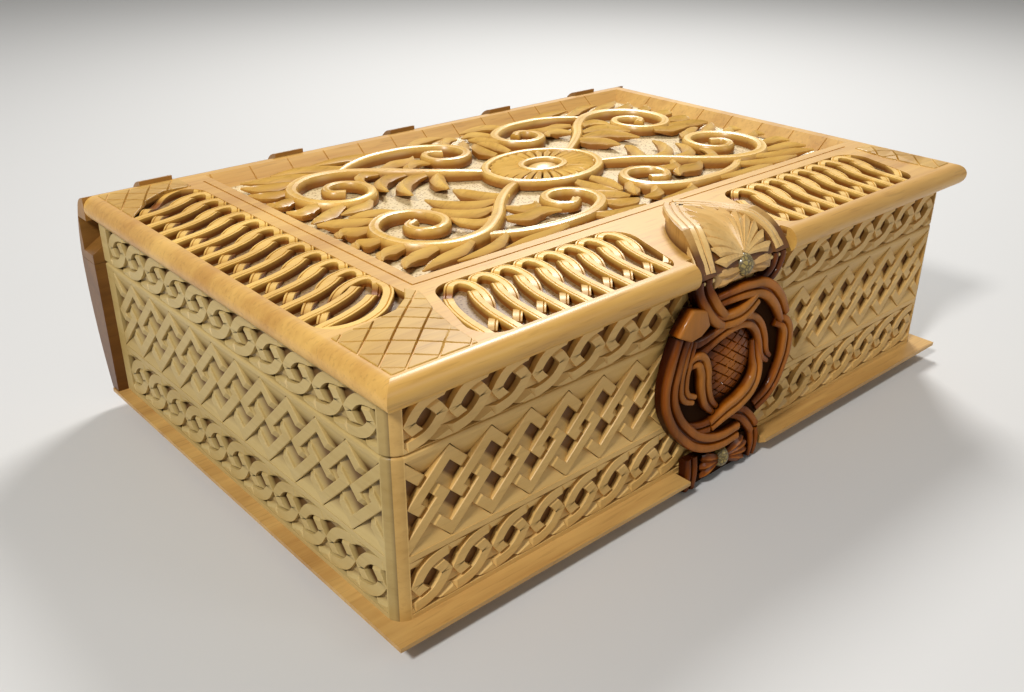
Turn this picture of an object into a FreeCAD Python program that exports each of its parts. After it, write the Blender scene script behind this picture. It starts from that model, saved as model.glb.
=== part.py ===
import FreeCAD, Part
import math
import os

# Book-shaped box of carved wood, lying flat, in millimetres.
# X runs along the fore-edge from the tail end (-X) to the head end (+X).
# Y runs from the fore-edge with the clasp (-Y) to the rounded spine (+Y).
# The origin is on the underside, below the middle of the page block.

os.makedirs("parts", exist_ok=True)
V = FreeCAD.Vector

# Page block: the pale box between the two boards
block_length = 300.0
block_width = 198.0
wall_thickness = 9.0
front_corner_radius = 6.0
body_height = 58.5
lid_rim_height = 18.5
seam_gap = 0.2
seam_round = 1.0

# Sunk fields for the carved bands on the fore-edge, tail and head
field_depth = 2.6
corner_strip = 5.3
spine_strip = 6.5
lower_band_bottom = 1.7
lower_band_height = 19.6
band_ridge = 2.2
middle_band_height = 33.0
lid_band_bottom = 0.8
lid_band_height = 16.9

# Base board
base_thickness = 8.0
base_end_overhang = 5.0
base_front_overhang = 8.0
base_back_overhang = 5.0
base_edge_face = 1.6
base_undercut = 12.0
base_notch_half_width = 23.0
base_notch_depth = 7.4

# Cover board
cover_thickness = 9.5
cover_end_overhang = 4.5
cover_front_overhang = 7.5
cover_edge_round = 4.7
cover_notch_half_width = 27.0

# Sunk panel of the cover and its tiled slopes on the spine and head sides
panel_depth = 5.6
panel_slope_run = 7.2
tail_border_width = 50.5
front_border_width = 55.5
spine_border_width = 3.5
head_border_width = 9.0
tile_pitch = 18.5
tile_groove_width = 0.6
tile_groove_depth = 0.5
fillet_width = 8.6
fillet_groove_width = 0.8
fillet_groove_depth = 0.5

# Sunk fields for the loops on the cover border
loop_field_depth = 3.0
loop_field_edge = 6.0
loop_field_inner_gap = 1.2
loop_field_round = 9.0
tail_field_front_margin = 38.0
tail_field_back_margin = 11.0
left_field_start = 36.0
left_field_end = 136.0
right_field_start = 181.0
right_field_end = 288.0
field_slant = 13.0

# Relief in the tray of the cover
relief_end_margin = 5.15
relief_side_margin = 3.65
stem_height = 5.0
stem_width = 4.4
leaf_height = 4.0
leaf_width = 5.0
rosette_length = 59.0
rosette_width = 47.0
rosette_height = 4.6
rosette_rim_width = 4.2
rosette_floor_height = 2.8
rosette_eye_length = 24.6
rosette_eye_width = 19.6
rosette_boss_radius = 20.0
rosette_fit = 0.3
flute_count = 30
flute_width = 0.8
flute_depth = 0.8

# Rounded spine
spine_depth = 13.1
spine_widest_height = 61.0
spine_lower_radius = 196.0
spine_upper_radius = 67.0
spine_crown_radius = 8.0
headcap_depth = 11.0
headcap_shell = 4.5
headcap_lip = 2.5
headcap_slope = 8.0
raised_band_count = 5
raised_band_pitch = 62.0
raised_band_width = 14.0
raised_band_height = 1.8

# Stop hinges let into the back of the spine
hinge_pitch = 186.0
hinge_width = 36.0
hinge_leaf_height = 15.0
hinge_leaf_thickness = 1.6
hinge_leaf_sink = 3.1
hinge_knuckle_count = 5
hinge_knuckle_radius = 2.2
hinge_pin_radius = 1.1
hinge_pin_fit = 0.05
hinge_axis_standoff = 2.7
hinge_knuckle_gap = 0.3
hinge_mortise_fit = 0.2
hinge_screws_per_leaf = 3
screw_head_radius = 2.3
screw_head_height = 1.3
screw_shank_radius = 1.2
screw_length = 8.0
screw_fit = 0.05
screw_end_margin = 6.0
screw_edge_margin = 5.0

# Keel arch and palmette on the cover above the clasp
arch_half_width = 25.0
arch_apex_from_front = 39.5
arch_shoulder_half_width = 17.5
arch_shoulder_from_front = 21.0
arch_strand_width = 8.0
arch_front_inset = 1.5
arch_crown_height = 5.0
arch_flank_height = 3.7
arch_flank_run = 8.0
palmette_sink = 0.8
palmette_fit = 0.1
petal_count = 13
petal_groove_width = 1.2
petal_groove_depth = 0.8
palmette_bead_radius = 3.2
bead_fit = 0.05
bead_rise = 1.0

# Clasp hinge: a lug on the lid between the two eyes of the clasp
clasp_pin_radius = 1.1
clasp_pin_fit = 0.05
clasp_pin_standoff = 3.5
clasp_pin_rise = 0.6
clasp_pin_length = 14.5
clasp_eye_radius = 2.3
clasp_eye_gap = 0.3
lug_half_width = 16.0
lug_side_gap = 0.4
lug_front_cover = 1.8
lug_bottom_cover = 3.2
lug_bottom_gap = 0.4
lug_round = 1.4

# Strap, medallion, cabochon and tab of the clasp
clasp_back_standoff = 1.4
leg_outer_half_width = 25.5
leg_front_cover = 2.2
strap_bottom = 74.0
medallion_centre_height = 48.5
medallion_half_width = 37.5
medallion_half_height = 33.5
medallion_thickness = 4.2
medallion_edge_round = 2.4
medallion_eye_radius = 15.0
medallion_eye_depth = 3.2
strapwork_height = 1.6
strapwork_width = 6.0
strapwork_ring_radius = 26.0
cabochon_radius = 14.5
cabochon_edge = 0.6
cabochon_rise = 1.8
tab_width = 18.0
tab_height = 12.0
tab_thickness = 4.6
tab_left = 39.0
tab_bottom = 69.0
tab_round = 1.8
magnet_radius = 4.0
magnet_thickness = 1.8
magnet_height = 23.0
magnet_fit = 0.05

# Strike plate and carved foot on the body below the clasp
strike_plate_thickness = 1.0
strike_plate_half_width = 12.0
strike_plate_bottom = 9.0
strike_plate_top = 31.0
catch_foot_half_width = 22.0
catch_foot_top = 13.5
catch_foot_thickness = 6.0
catch_foot_underside = 0.8
catch_foot_round = 2.6
catch_groove_count = 8
catch_groove_width = 1.2
catch_groove_depth = 0.9
catch_bead_radius = 3.0
catch_bead_height = 8.0
catch_bead_inset = 1.6

# How far every cutting shape runs past what it cuts
overrun = 2.0
ribbon_steps = 3

# Places along a stem: shares of half the relief's length and width, and of the stem's width
stem_shares = [
    [(0.239, 0.188, 0.7), (0.389, 0.375, 0.95), (0.531, 0.609, 1.05), (0.69, 0.758, 1.1),
     (0.841, 0.688, 1.05), (0.907, 0.453, 1), (0.854, 0.227, 0.95), (0.735, 0.18, 0.9),
     (0.659, 0.312, 0.85), (0.677, 0.477, 0.8), (0.757, 0.516, 0.75), (0.796, 0.406, 0.7),
     (0.752, 0.344, 0.9)],
    [(0.655, 0.734, 0.7), (0.513, 0.867, 0.95), (0.354, 0.906, 1), (0.195, 0.844, 1),
     (0.106, 0.68, 0.95), (0.137, 0.508, 0.9), (0.23, 0.477, 0.85), (0.283, 0.594, 0.8),
     (0.243, 0.703, 0.7), (0.19, 0.656, 0.9)],
]
# Places along a leaf: shares of half the relief's length and width
leaf_shares = [
    [(0.407, 0.344), (0.487, 0.328), (0.558, 0.219), (0.584, 0.062)],
    [(0.46, 0.438), (0.54, 0.445), (0.602, 0.359), (0.624, 0.219)],
    [(0.531, 0.562), (0.588, 0.594), (0.628, 0.516), (0.633, 0.422)],
    [(0.336, 0.344), (0.398, 0.234), (0.434, 0.109), (0.442, 0.023)],
    [(0.496, 0.625), (0.434, 0.672), (0.354, 0.656), (0.301, 0.734)],
    [(0.425, 0.484), (0.381, 0.578), (0.336, 0.578), (0.31, 0.516)],
    [(0.708, 0.781), (0.796, 0.852), (0.894, 0.891), (0.973, 0.953)],
    [(0.814, 0.734), (0.894, 0.75), (0.956, 0.781), (1, 0.859)],
    [(0.876, 0.609), (0.947, 0.609), (0.991, 0.633), (1.018, 0.703)],
    [(0.912, 0.453), (0.965, 0.438), (1, 0.422), (1.018, 0.484)],
    [(0.876, 0.266), (0.938, 0.25), (0.982, 0.219), (1.009, 0.281)],
    [(0.823, 0.172), (0.903, 0.109), (0.956, 0.062), (1, 0.023)],
    [(0.726, 0.148), (0.779, 0.078), (0.841, 0.055), (0.885, 0.04)],
    [(0.584, 0.812), (0.673, 0.906), (0.761, 0.953), (0.85, 0.961)],
    [(0.389, 0.938), (0.496, 0.969), (0.593, 0.977), (0.673, 0.984)],
    [(0.248, 0.898), (0.212, 0.969), (0.124, 1), (0.044, 0.984)],
    [(0.133, 0.766), (0.097, 0.859), (0.053, 0.898), (0.013, 0.883)],
    [(0.106, 0.594), (0.071, 0.688), (0.035, 0.766), (0.013, 0.812)],
    [(0.035, 0.391), (0.041, 0.516), (0.03, 0.625), (0.009, 0.703)],
]
leaf_taper_shares = [0.4, 1.0, 0.85, 0.15]

# Places worked out from the sizes above
half_length = block_length / 2
front_face = -block_width / 2
back_face = block_width / 2
floor = base_thickness
seam = floor + body_height
rim_bottom = seam + seam_gap
rim_top = seam + lid_rim_height
cover_top = rim_top + cover_thickness
cover_end = half_length + cover_end_overhang
cover_front = front_face - cover_front_overhang
tray_floor = cover_top - panel_depth
base_end = half_length + base_end_overhang
base_front = front_face - base_front_overhang
base_back = back_face + base_back_overhang
hinge_axis_y = back_face + spine_depth + hinge_axis_standoff
hinge_leaf_back = back_face + spine_depth - hinge_leaf_sink
clasp_pin_y = front_face - clasp_pin_standoff
clasp_pin_z = rim_top + clasp_pin_rise
clasp_back = front_face - clasp_back_standoff
leg_front = clasp_pin_y - leg_front_cover
leg_inner_half_width = lug_half_width + lug_side_gap
arch_front = cover_front + arch_front_inset
arch_underside = clasp_pin_z + clasp_eye_radius + clasp_eye_gap
lug_bottom = clasp_pin_z - lug_bottom_cover


def block(x0, x1, y0, y1, z0, z1):
    return Part.makeBox(x1 - x0, y1 - y0, z1 - z0, V(x0, y0, z0))


def face_of(points):
    return Part.Face(Part.makePolygon(points + [points[0]]))


def prism_z(points, z0, z1):
    return face_of([V(x, y, z0) for x, y in points]).extrude(V(0, 0, z1 - z0))


def prism_x(points, x0, x1):
    return face_of([V(x0, y, z) for y, z in points]).extrude(V(x1 - x0, 0, 0))


def rod_x(y, z, radius, x0, x1):
    return Part.makeCylinder(radius, x1 - x0, V(x0, y, z), V(1, 0, 0))


def rod_y(x, z, radius, y0, y1):
    return Part.makeCylinder(radius, y1 - y0, V(x, y0, z), V(0, 1, 0))


def front_rounded(solid, front, radius):
    return solid.makeFillet(radius, [e for e in solid.Edges if e.BoundBox.YMax < front + radius / 2])


def joined(shapes):
    first = shapes[0]
    return first.fuse(shapes[1:]).removeSplitter() if len(shapes) > 1 else first


def save(name, shape):
    shape.exportStep("parts/" + name + ".step")
    solids = len(shape.Solids)
    print(name, "solids", solids, "volume", round(shape.Volume, 1), "valid", shape.isValid())


# Walls of the page block and rims of the lid
def block_outline(z):
    r = front_corner_radius
    lean = r - r / math.sqrt(2)
    west, east, south, north = -half_length, half_length, front_face, back_face
    edges = [
        Part.makeLine(V(west + r, south, z), V(east - r, south, z)),
        Part.Arc(V(east - r, south, z), V(east - lean, south + lean, z), V(east, south + r, z)).toShape(),
        Part.makeLine(V(east, south + r, z), V(east, north, z)),
        Part.makeLine(V(east, north, z), V(west, north, z)),
        Part.makeLine(V(west, north, z), V(west, south + r, z)),
        Part.Arc(V(west, south + r, z), V(west + lean, south + lean, z), V(west + r, south, z)).toShape(),
    ]
    return Part.Face(Part.Wire(edges))


def wall_ring(z0, z1, rounded_edge_z):
    solid = block_outline(z0).extrude(V(0, 0, z1 - z0))
    rim = [e for e in solid.Edges if all(abs(v.Z - rounded_edge_z) < seam_gap / 2 for v in e.Vertexes)]
    solid = solid.makeFillet(seam_round, rim)
    w = wall_thickness
    x1, y0, y1 = half_length - w, front_face + w, back_face - w
    hollow = block(-x1, x1, y0, y1, z0 - overrun, z1 + overrun)
    return solid.cut(hollow)


def mitre_wedge(side, z0, z1):
    o, w = overrun, wall_thickness
    west, east, south, north = -half_length, half_length, front_face, back_face
    outer = {"sw": (west - o, south - o), "se": (east + o, south - o),
             "ne": (east + o, north + o), "nw": (west - o, north + o)}
    inner = {"sw": (west + w, south + w), "se": (east - w, south + w),
             "ne": (east - w, north - w), "nw": (west + w, north - w)}
    first, second = {"front": ("sw", "se"), "head": ("se", "ne"),
                     "back": ("ne", "nw"), "tail": ("nw", "sw")}[side]
    return prism_z([outer[first], outer[second], inner[second], inner[first]], z0 - o, z1 + o)


def field_cutter(side, z0, z1):
    d = field_depth
    if side == "front":
        return block(-half_length + corner_strip, half_length - corner_strip,
                     front_face - overrun, front_face + d, z0, z1)
    y0, y1 = front_face + corner_strip, back_face - spine_strip
    if side == "tail":
        return block(-half_length - overrun, -half_length + d, y0, y1, z0, z1)
    return block(half_length - d, half_length + overrun, y0, y1, z0, z1)


def four_walls(z0, z1, rounded_edge_z, bands):
    ring = wall_ring(z0, z1, rounded_edge_z)
    walls = {}
    for side in ("front", "tail", "head", "back"):
        wall = ring.common(mitre_wedge(side, z0, z1))
        if side != "back":
            for low, high in bands:
                wall = wall.cut(field_cutter(side, low, high))
        walls[side] = wall
    return walls


def body_walls():
    lower = floor + lower_band_bottom
    middle = lower + lower_band_height + band_ridge
    bands = [(lower, lower + lower_band_height), (middle, middle + middle_band_height)]
    for side, wall in four_walls(floor, seam, seam, bands).items():
        save(side + "_wall", wall)


def lid_rims():
    low = seam + lid_band_bottom
    bands = [(low, low + lid_band_height)]
    for side, wall in four_walls(rim_bottom, rim_top, rim_bottom, bands).items():
        save("lid_" + side + "_rim", wall)


# Base board with an undercut lower edge and a notch for the catch
def rectangle_wire(x0, x1, y0, y1, z):
    points = [V(x0, y0, z), V(x1, y0, z), V(x1, y1, z), V(x0, y1, z)]
    return Part.makePolygon(points + [points[0]])


def base_board():
    arris = floor - base_edge_face
    u = base_undercut
    slab = block(-base_end, base_end, base_front, base_back, arris, floor)
    upper = rectangle_wire(-base_end, base_end, base_front, base_back, arris)
    lower = rectangle_wire(-base_end + u, base_end - u, base_front + u, base_back - u, 0)
    board = slab.fuse(Part.makeLoft([lower, upper], True, True)).removeSplitter()
    n = base_notch_half_width
    notch = block(-n, n, base_front - overrun, base_front + base_notch_depth, -overrun, floor + overrun)
    save("base_board", board.cut(notch))


# Cover board
def cover_blank():
    board = block(-cover_end, cover_end, cover_front, back_face, rim_top, cover_top)
    rims = []
    for edge in board.Edges:
        a, b = edge.Vertexes[0].Point, edge.Vertexes[1].Point
        flat = abs(a.z - b.z) < overrun
        at_back = abs(a.y - back_face) < overrun and abs(b.y - back_face) < overrun
        if flat and not at_back:
            rims.append(edge)
    return board.makeFillet(cover_edge_round, rims)


def panel_sides():
    west = -cover_end + tail_border_width
    east = cover_end - head_border_width - panel_slope_run
    south = cover_front + front_border_width
    north = back_face - spine_border_width - panel_slope_run
    return west, east, south, north


def panel_cutter():
    west, east, south, north = panel_sides()
    run = panel_slope_run
    share = (panel_depth + overrun) / panel_depth
    low = rectangle_wire(west, east, south, north, cover_top - panel_depth)
    high = rectangle_wire(west, east + run * share, south, north + run * share, cover_top + overrun)
    return Part.makeLoft([low, high], True, True)


def tile_grooves():
    west, east, south, north = panel_sides()
    run, deep = panel_slope_run, panel_depth
    d, half = tile_groove_depth, tile_groove_width / 2
    bottom, top = cover_top - deep, cover_top
    cutters = []
    for i in range(1, int((east - west) / tile_pitch) + 1):
        x = east - i * tile_pitch
        points = [(north, bottom - d), (north + run + d, top), (north + run, top + d), (north - d, bottom)]
        cutters.append(prism_x(points, x - half, x + half))
    for i in range(1, int((north - south) / tile_pitch) + 1):
        y = north - i * tile_pitch
        corners = [V(east, y - half, bottom - d), V(east + run + d, y - half, top),
                   V(east + run, y - half, top + d), V(east - d, y - half, bottom)]
        cutters.append(face_of(corners).extrude(V(0, tile_groove_width, 0)))
    return cutters


def rounded_plan(points, radius, z0, z1):
    solid = prism_z(points, z0, z1)
    upright = [e for e in solid.Edges if abs(e.Vertexes[0].Z - e.Vertexes[1].Z) > (z1 - z0) / 2]
    return solid.makeFillet(radius, upright)


def loop_fields():
    z0, z1 = cover_top - loop_field_depth, cover_top + overrun
    r = loop_field_round
    west, east, south, north = panel_sides()
    outer_x = -cover_end + loop_field_edge
    inner_x = west - fillet_width - loop_field_inner_gap
    tail_y0 = cover_front + tail_field_front_margin
    tail_y1 = back_face - tail_field_back_margin
    tail = [(outer_x, tail_y0), (inner_x, tail_y0), (inner_x, tail_y1), (outer_x, tail_y1 - field_slant)]
    outer_y = cover_front + loop_field_edge
    inner_y = south - fillet_width - loop_field_inner_gap
    fields = [rounded_plan(tail, r, z0, z1)]
    for start, end in ((left_field_start, left_field_end), (right_field_start, right_field_end)):
        x0, x1 = start - cover_end, end - cover_end
        plan = [(x0, outer_y), (x1 - field_slant, outer_y), (x1, inner_y), (x0 + field_slant, inner_y)]
        fields.append(rounded_plan(plan, r, z0, z1))
    return fields


def fillet_grooves():
    west, east, south, north = panel_sides()
    z0, z1 = cover_top - fillet_groove_depth, cover_top + overrun
    half = fillet_groove_width / 2
    mid_x = west - fillet_width / 2
    mid_y = south - fillet_width / 2
    along_tail = block(mid_x - half, mid_x + half, mid_y - half, north, z0, z1)
    along_front = block(mid_x - half, east, mid_y - half, mid_y + half, z0, z1)
    return [along_tail, along_front]


def cover_notch():
    n = cover_notch_half_width
    return block(-n, n, cover_front - overrun, front_face, rim_top - overrun, cover_top + overrun)


def cover_board():
    board = cover_blank().cut(panel_cutter())
    board = board.cut(cover_notch())
    for cutter in loop_fields() + fillet_grooves() + tile_grooves():
        board = board.cut(cutter)
    return board


# Relief in the tray
def tray_centre(z):
    west, east, south, north = panel_sides()
    return V((west + east) / 2, (south + north) / 2, z)


def relief_point(x_share, y_share):
    west, east, south, north = panel_sides()
    half_reach = (east - west) / 2 - relief_end_margin
    half_spread = (north - south) / 2 - relief_side_margin
    return tray_centre(tray_floor) + V(x_share * half_reach, y_share * half_spread, 0)


def through(points):
    curve = Part.BSplineCurve()
    curve.interpolate(points)
    return curve


def ribbon(points, half_widths, height):
    middle = through(points)
    places = [middle.parameter(point) for point in points]
    left, right = [], []
    for i, place in enumerate(places):
        steps = ribbon_steps if i < len(places) - 1 else 1
        for k in range(steps):
            t = k / steps
            after = min(i + 1, len(places) - 1)
            here = place + (places[after] - place) * t
            half = half_widths[i] + (half_widths[after] - half_widths[i]) * t
            tangent = middle.tangent(here)[0]
            across = V(-tangent.y, tangent.x, 0) * half
            left.append(middle.value(here) + across)
            right.append(middle.value(here) - across)
    return face_of(left + right[::-1]).extrude(V(0, 0, height))


def relief_quarter():
    pieces = []
    for shares in stem_shares:
        points = [relief_point(x, y) for x, y, wide in shares]
        pieces.append(ribbon(points, [wide * stem_width / 2 for x, y, wide in shares], stem_height))
    for shares in leaf_shares:
        points = [relief_point(x, y) for x, y in shares]
        pieces.append(ribbon(points, [wide * leaf_width / 2 for wide in leaf_taper_shares], leaf_height))
    return joined(pieces)


def oval_disc(length, width, z0, z1):
    curve = Part.Ellipse(tray_centre(z0), length / 2, width / 2)
    return Part.Face(Part.Wire([curve.toShape()])).extrude(V(0, 0, z1 - z0))


def relief_scrolls():
    gap = 2 * rosette_fit
    clear = oval_disc(rosette_length + gap, rosette_width + gap, tray_floor - overrun, cover_top)
    quarter = relief_quarter().cut(clear)
    middle = relief_point(0, 0)
    beside = quarter.mirror(middle, V(1, 0, 0))
    below = [part.mirror(middle, V(0, 1, 0)) for part in (quarter, beside)]
    return Part.makeCompound([quarter, beside] + below)


def flute_cutters(z0, z1):
    start, end = rosette_eye_width / 2 - flute_width, rosette_length / 2
    cutters = []
    for i in range(flute_count):
        angle = 2 * math.pi * (i + 0.5) / flute_count
        outwards = V(math.cos(angle), math.sin(angle), 0)
        across = V(-math.sin(angle), math.cos(angle), 0) * (flute_width / 2)
        near = tray_centre(z0) + outwards * start
        far = tray_centre(z0) + outwards * end
        plan = face_of([near + across, near - across, far - across, far + across])
        cutters.append(plan.extrude(V(0, 0, z1 - z0)))
    return cutters


def relief_rosette():
    low, high = tray_floor, tray_floor + rosette_height
    dish_floor = tray_floor + rosette_floor_height
    rim = 2 * rosette_rim_width
    dish = oval_disc(rosette_length - rim, rosette_width - rim, dish_floor, high + overrun)
    flute_reach = oval_disc(rosette_length - rim, rosette_width - rim, dish_floor - flute_depth, high + overrun)
    flutes = flute_reach.common(Part.makeCompound(flute_cutters(dish_floor - flute_depth, high)))
    solid = oval_disc(rosette_length, rosette_width, low, high).cut([dish, flutes])
    ball = Part.makeSphere(rosette_boss_radius, tray_centre(high - rosette_boss_radius))
    eye = oval_disc(rosette_eye_length, rosette_eye_width, low, high).common(ball)
    return solid.fuse(eye).removeSplitter()


# Rounded spine: one outline of tangent arcs, split at the seam
def spine_face(extra, x):
    widest_y = back_face + spine_depth + extra
    upper, lower = spine_upper_radius + extra, spine_lower_radius + extra
    crown = spine_crown_radius + extra
    top = cover_top + extra
    wide_z = spine_widest_height
    sine = (top - crown - wide_z) / (upper - crown)
    turn = math.asin(sine)

    def on_arc(radius, angle):
        return V(x, widest_y - radius * (1 - math.cos(angle)), wide_z + radius * math.sin(angle))

    foot = -math.asin((wide_z - floor) / lower)
    start = on_arc(lower, foot)
    widest = on_arc(upper, 0)
    shoulder = on_arc(upper, turn)
    crown_y = shoulder.y - crown * math.cos(turn)
    crown_z = shoulder.z - crown * math.sin(turn)
    half_turn = (turn + math.pi / 2) / 2
    crown_middle = V(x, crown_y + crown * math.cos(half_turn), crown_z + crown * math.sin(half_turn))
    crown_end = V(x, crown_y, crown_z + crown)
    inner_low, inner_high = V(x, crown_y, floor), V(x, crown_y, top)
    edges = [
        Part.Arc(start, on_arc(lower, foot / 2), widest).toShape(),
        Part.Arc(widest, on_arc(upper, turn / 2), shoulder).toShape(),
        Part.Arc(shoulder, crown_middle, crown_end).toShape(),
        Part.makeLine(crown_end if (crown_end - inner_high).Length > 0 else inner_high, inner_low),
        Part.makeLine(inner_low, start),
    ]
    return Part.Face(Part.Wire(edges))


def spine_slice(extra, x0, x1, z0, z1):
    solid = spine_face(extra, x0).extrude(V(x1 - x0, 0, 0))
    far = back_face + spine_depth + extra + overrun
    return solid.common(block(x0 - overrun, x1 + overrun, back_face, far, z0, z1))


def hinge_centres():
    return [-hinge_pitch / 2, hinge_pitch / 2]


def hinge_mortises(z0, z1):
    fit = hinge_mortise_fit
    far = hinge_axis_y + hinge_knuckle_radius + overrun
    cutters = []
    for x in hinge_centres():
        half = hinge_width / 2 + fit
        cutters.append(block(x - half, x + half, hinge_leaf_back, far, z0, z1))
        barrel = hinge_knuckle_radius + hinge_knuckle_gap
        cutters.append(rod_x(hinge_axis_y, seam, barrel, x - half, x + half))
    return cutters


def screw_places(z):
    places = []
    spread = hinge_width - 2 * screw_end_margin
    for x in hinge_centres():
        for i in range(hinge_screws_per_leaf):
            places.append((x - spread / 2 + spread * i / (hinge_screws_per_leaf - 1), z))
    return places


def screw_solid(x, z, fit):
    outer = hinge_leaf_back + hinge_leaf_thickness
    shank = rod_y(x, z, screw_shank_radius + fit, outer - screw_length, outer)
    head = Part.makeCone(screw_shank_radius + fit, screw_head_radius + fit, screw_head_height,
                         V(x, outer - screw_head_height, z), V(0, 1, 0))
    return shank.fuse(head).removeSplitter()


def screw_rows():
    lower_z = seam - hinge_knuckle_radius - screw_edge_margin
    upper_z = rim_bottom + hinge_knuckle_radius + screw_edge_margin
    return lower_z, upper_z


def with_screw_holes(solid, z):
    for x, height in screw_places(z):
        solid = solid.cut(screw_solid(x, height, screw_fit))
    return solid


def headcap_cutter(side):
    shell = back_face + spine_depth - headcap_shell
    end = side * (cover_end + overrun)
    deep = side * (cover_end - headcap_depth)
    low, high = rim_bottom + headcap_lip, rim_bottom + headcap_lip + headcap_slope
    corners = [(end, low), (deep, high), (deep, rim_top), (end, rim_top)]
    return face_of([V(x, back_face, z) for x, z in corners]).extrude(V(0, shell - back_face, 0))


def lower_spine():
    solid = spine_slice(0, -cover_end, cover_end, floor, seam)
    for cutter in hinge_mortises(seam - hinge_leaf_height - hinge_mortise_fit, seam + overrun):
        solid = solid.cut(cutter)
    return with_screw_holes(solid, screw_rows()[0])


def upper_spine():
    solid = spine_slice(0, -cover_end, cover_end, rim_bottom, cover_top)
    for cutter in hinge_mortises(seam - overrun, rim_bottom + hinge_leaf_height + hinge_mortise_fit):
        solid = solid.cut(cutter)
    for side in (-1, 1):
        solid = solid.cut(headcap_cutter(side))
    return with_screw_holes(solid, screw_rows()[1])


def raised_bands(z0, z1):
    bands = []
    first = -raised_band_pitch * (raised_band_count - 1) / 2
    for i in range(raised_band_count):
        middle = first + i * raised_band_pitch
        x0, x1 = middle - raised_band_width / 2, middle + raised_band_width / 2
        outer = spine_slice(raised_band_height, x0, x1, z0, z1)
        core = spine_slice(0, x0 - overrun, x1 + overrun, z0 - overrun, z1 + overrun)
        bands.append(outer.cut(core))
    return Part.makeCompound(bands)


# Stop hinges
def knuckle_spans(x, wanted):
    step = hinge_width / hinge_knuckle_count
    spans = []
    for i in range(hinge_knuckle_count):
        if i % 2 == wanted:
            start = x - hinge_width / 2 + i * step
            spans.append((start + hinge_knuckle_gap / 2, start + step - hinge_knuckle_gap / 2))
    return spans


def hinge_leaf(x, wanted, z0, z1, seam_side):
    half = hinge_width / 2
    back, front = hinge_leaf_back, hinge_leaf_back + hinge_leaf_thickness
    parts = [block(x - half, x + half, back, front, z0, z1)]
    for x0, x1 in knuckle_spans(x, wanted):
        parts.append(rod_x(hinge_axis_y, seam, hinge_knuckle_radius, x0, x1))
        web = sorted((seam_side, seam_side + (hinge_knuckle_radius if wanted else -hinge_knuckle_radius)))
        parts.append(block(x0, x1, back, hinge_axis_y, web[0], web[1]))
    leaf = joined(parts)
    bore = hinge_pin_radius + hinge_pin_fit
    return leaf.cut(rod_x(hinge_axis_y, seam, bore, x - hinge_width, x + hinge_width))


def hinge_leaves(wanted):
    low = wanted == 0
    z0 = seam - hinge_leaf_height if low else rim_bottom
    z1 = seam if low else rim_bottom + hinge_leaf_height
    side = seam if low else rim_bottom
    row = screw_rows()[0] if low else screw_rows()[1]
    leaves = [hinge_leaf(x, wanted, z0, z1, side) for x in hinge_centres()]
    return with_screw_holes(Part.makeCompound(leaves), row)


def hinges():
    save("hinge_lower_leaves", hinge_leaves(0))
    save("hinge_upper_leaves", hinge_leaves(1))
    half = hinge_width / 2
    pins = [rod_x(hinge_axis_y, seam, hinge_pin_radius, x - half, x + half) for x in hinge_centres()]
    save("hinge_pins", Part.makeCompound(pins))
    lower_z, upper_z = screw_rows()
    save("hinge_lower_screws", Part.makeCompound([screw_solid(x, z, 0) for x, z in screw_places(lower_z)]))
    save("hinge_upper_screws", Part.makeCompound([screw_solid(x, z, 0) for x, z in screw_places(upper_z)]))


# Keel arch and palmette
def arch_plan(inset, z):
    apex_y = cover_front + arch_apex_from_front - inset
    shoulder_y = cover_front + arch_shoulder_from_front - inset / 2
    shoulder = arch_shoulder_half_width - inset
    foot = arch_half_width - inset
    right = Part.Arc(V(foot, arch_front, z), V(shoulder, shoulder_y, z), V(0, apex_y, z)).toShape()
    left = Part.Arc(V(0, apex_y, z), V(-shoulder, shoulder_y, z), V(-foot, arch_front, z)).toShape()
    return Part.Face(Part.Wire([right, left, Part.makeLine(V(-foot, arch_front, z), V(foot, arch_front, z))]))


def hump(sink, low):
    crown_y = cover_front + arch_apex_from_front
    crown_z = cover_top + arch_crown_height - sink
    front = arch_front + sink
    x0 = -arch_half_width - overrun
    back = crown_y + overrun
    start, end = V(x0, front, low), V(x0, crown_y, crown_z)
    flank = V(x0, front + arch_flank_run, cover_top + arch_flank_height - sink)
    edges = [
        Part.Arc(start, flank, end).toShape(),
        Part.makeLine(end, V(x0, back, crown_z)),
        Part.makeLine(V(x0, back, crown_z), V(x0, back, low)),
        Part.makeLine(V(x0, back, low), start),
    ]
    return Part.Face(Part.Wire(edges)).extrude(V(2 * arch_half_width + 2 * overrun, 0, 0))


def clear_of_cover(solid):
    return solid.cut(cover_blank().cut(cover_notch()))


def cover_arch():
    low, high = arch_underside, cover_top + arch_crown_height + overrun
    outer = arch_plan(0, low).extrude(V(0, 0, high - low))
    inner = arch_plan(arch_strand_width, low - overrun).extrude(V(0, 0, high - low + 2 * overrun))
    return clear_of_cover(outer.cut(inner).common(hump(0, low)))


def bead_centre():
    return V(0, clasp_pin_y, rim_top + bead_rise)


def petal_cutters():
    low, high = arch_underside, cover_top + arch_crown_height + overrun
    reach = arch_apex_from_front
    half = petal_groove_width / 2
    floor_of_grooves = hump(palmette_sink + petal_groove_depth, low)
    cutters = []
    for i in range(petal_count - 1):
        angle = math.pi * (i + 1) / petal_count
        along = V(math.cos(angle), math.sin(angle), 0) * reach
        across = V(-math.sin(angle), math.cos(angle), 0) * half
        centre = V(0, clasp_pin_y, low)
        plan = face_of([centre + across, centre - across, centre - across + along, centre + across + along])
        cutters.append(plan.extrude(V(0, 0, high - low)).cut(floor_of_grooves))
    return cutters


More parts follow.
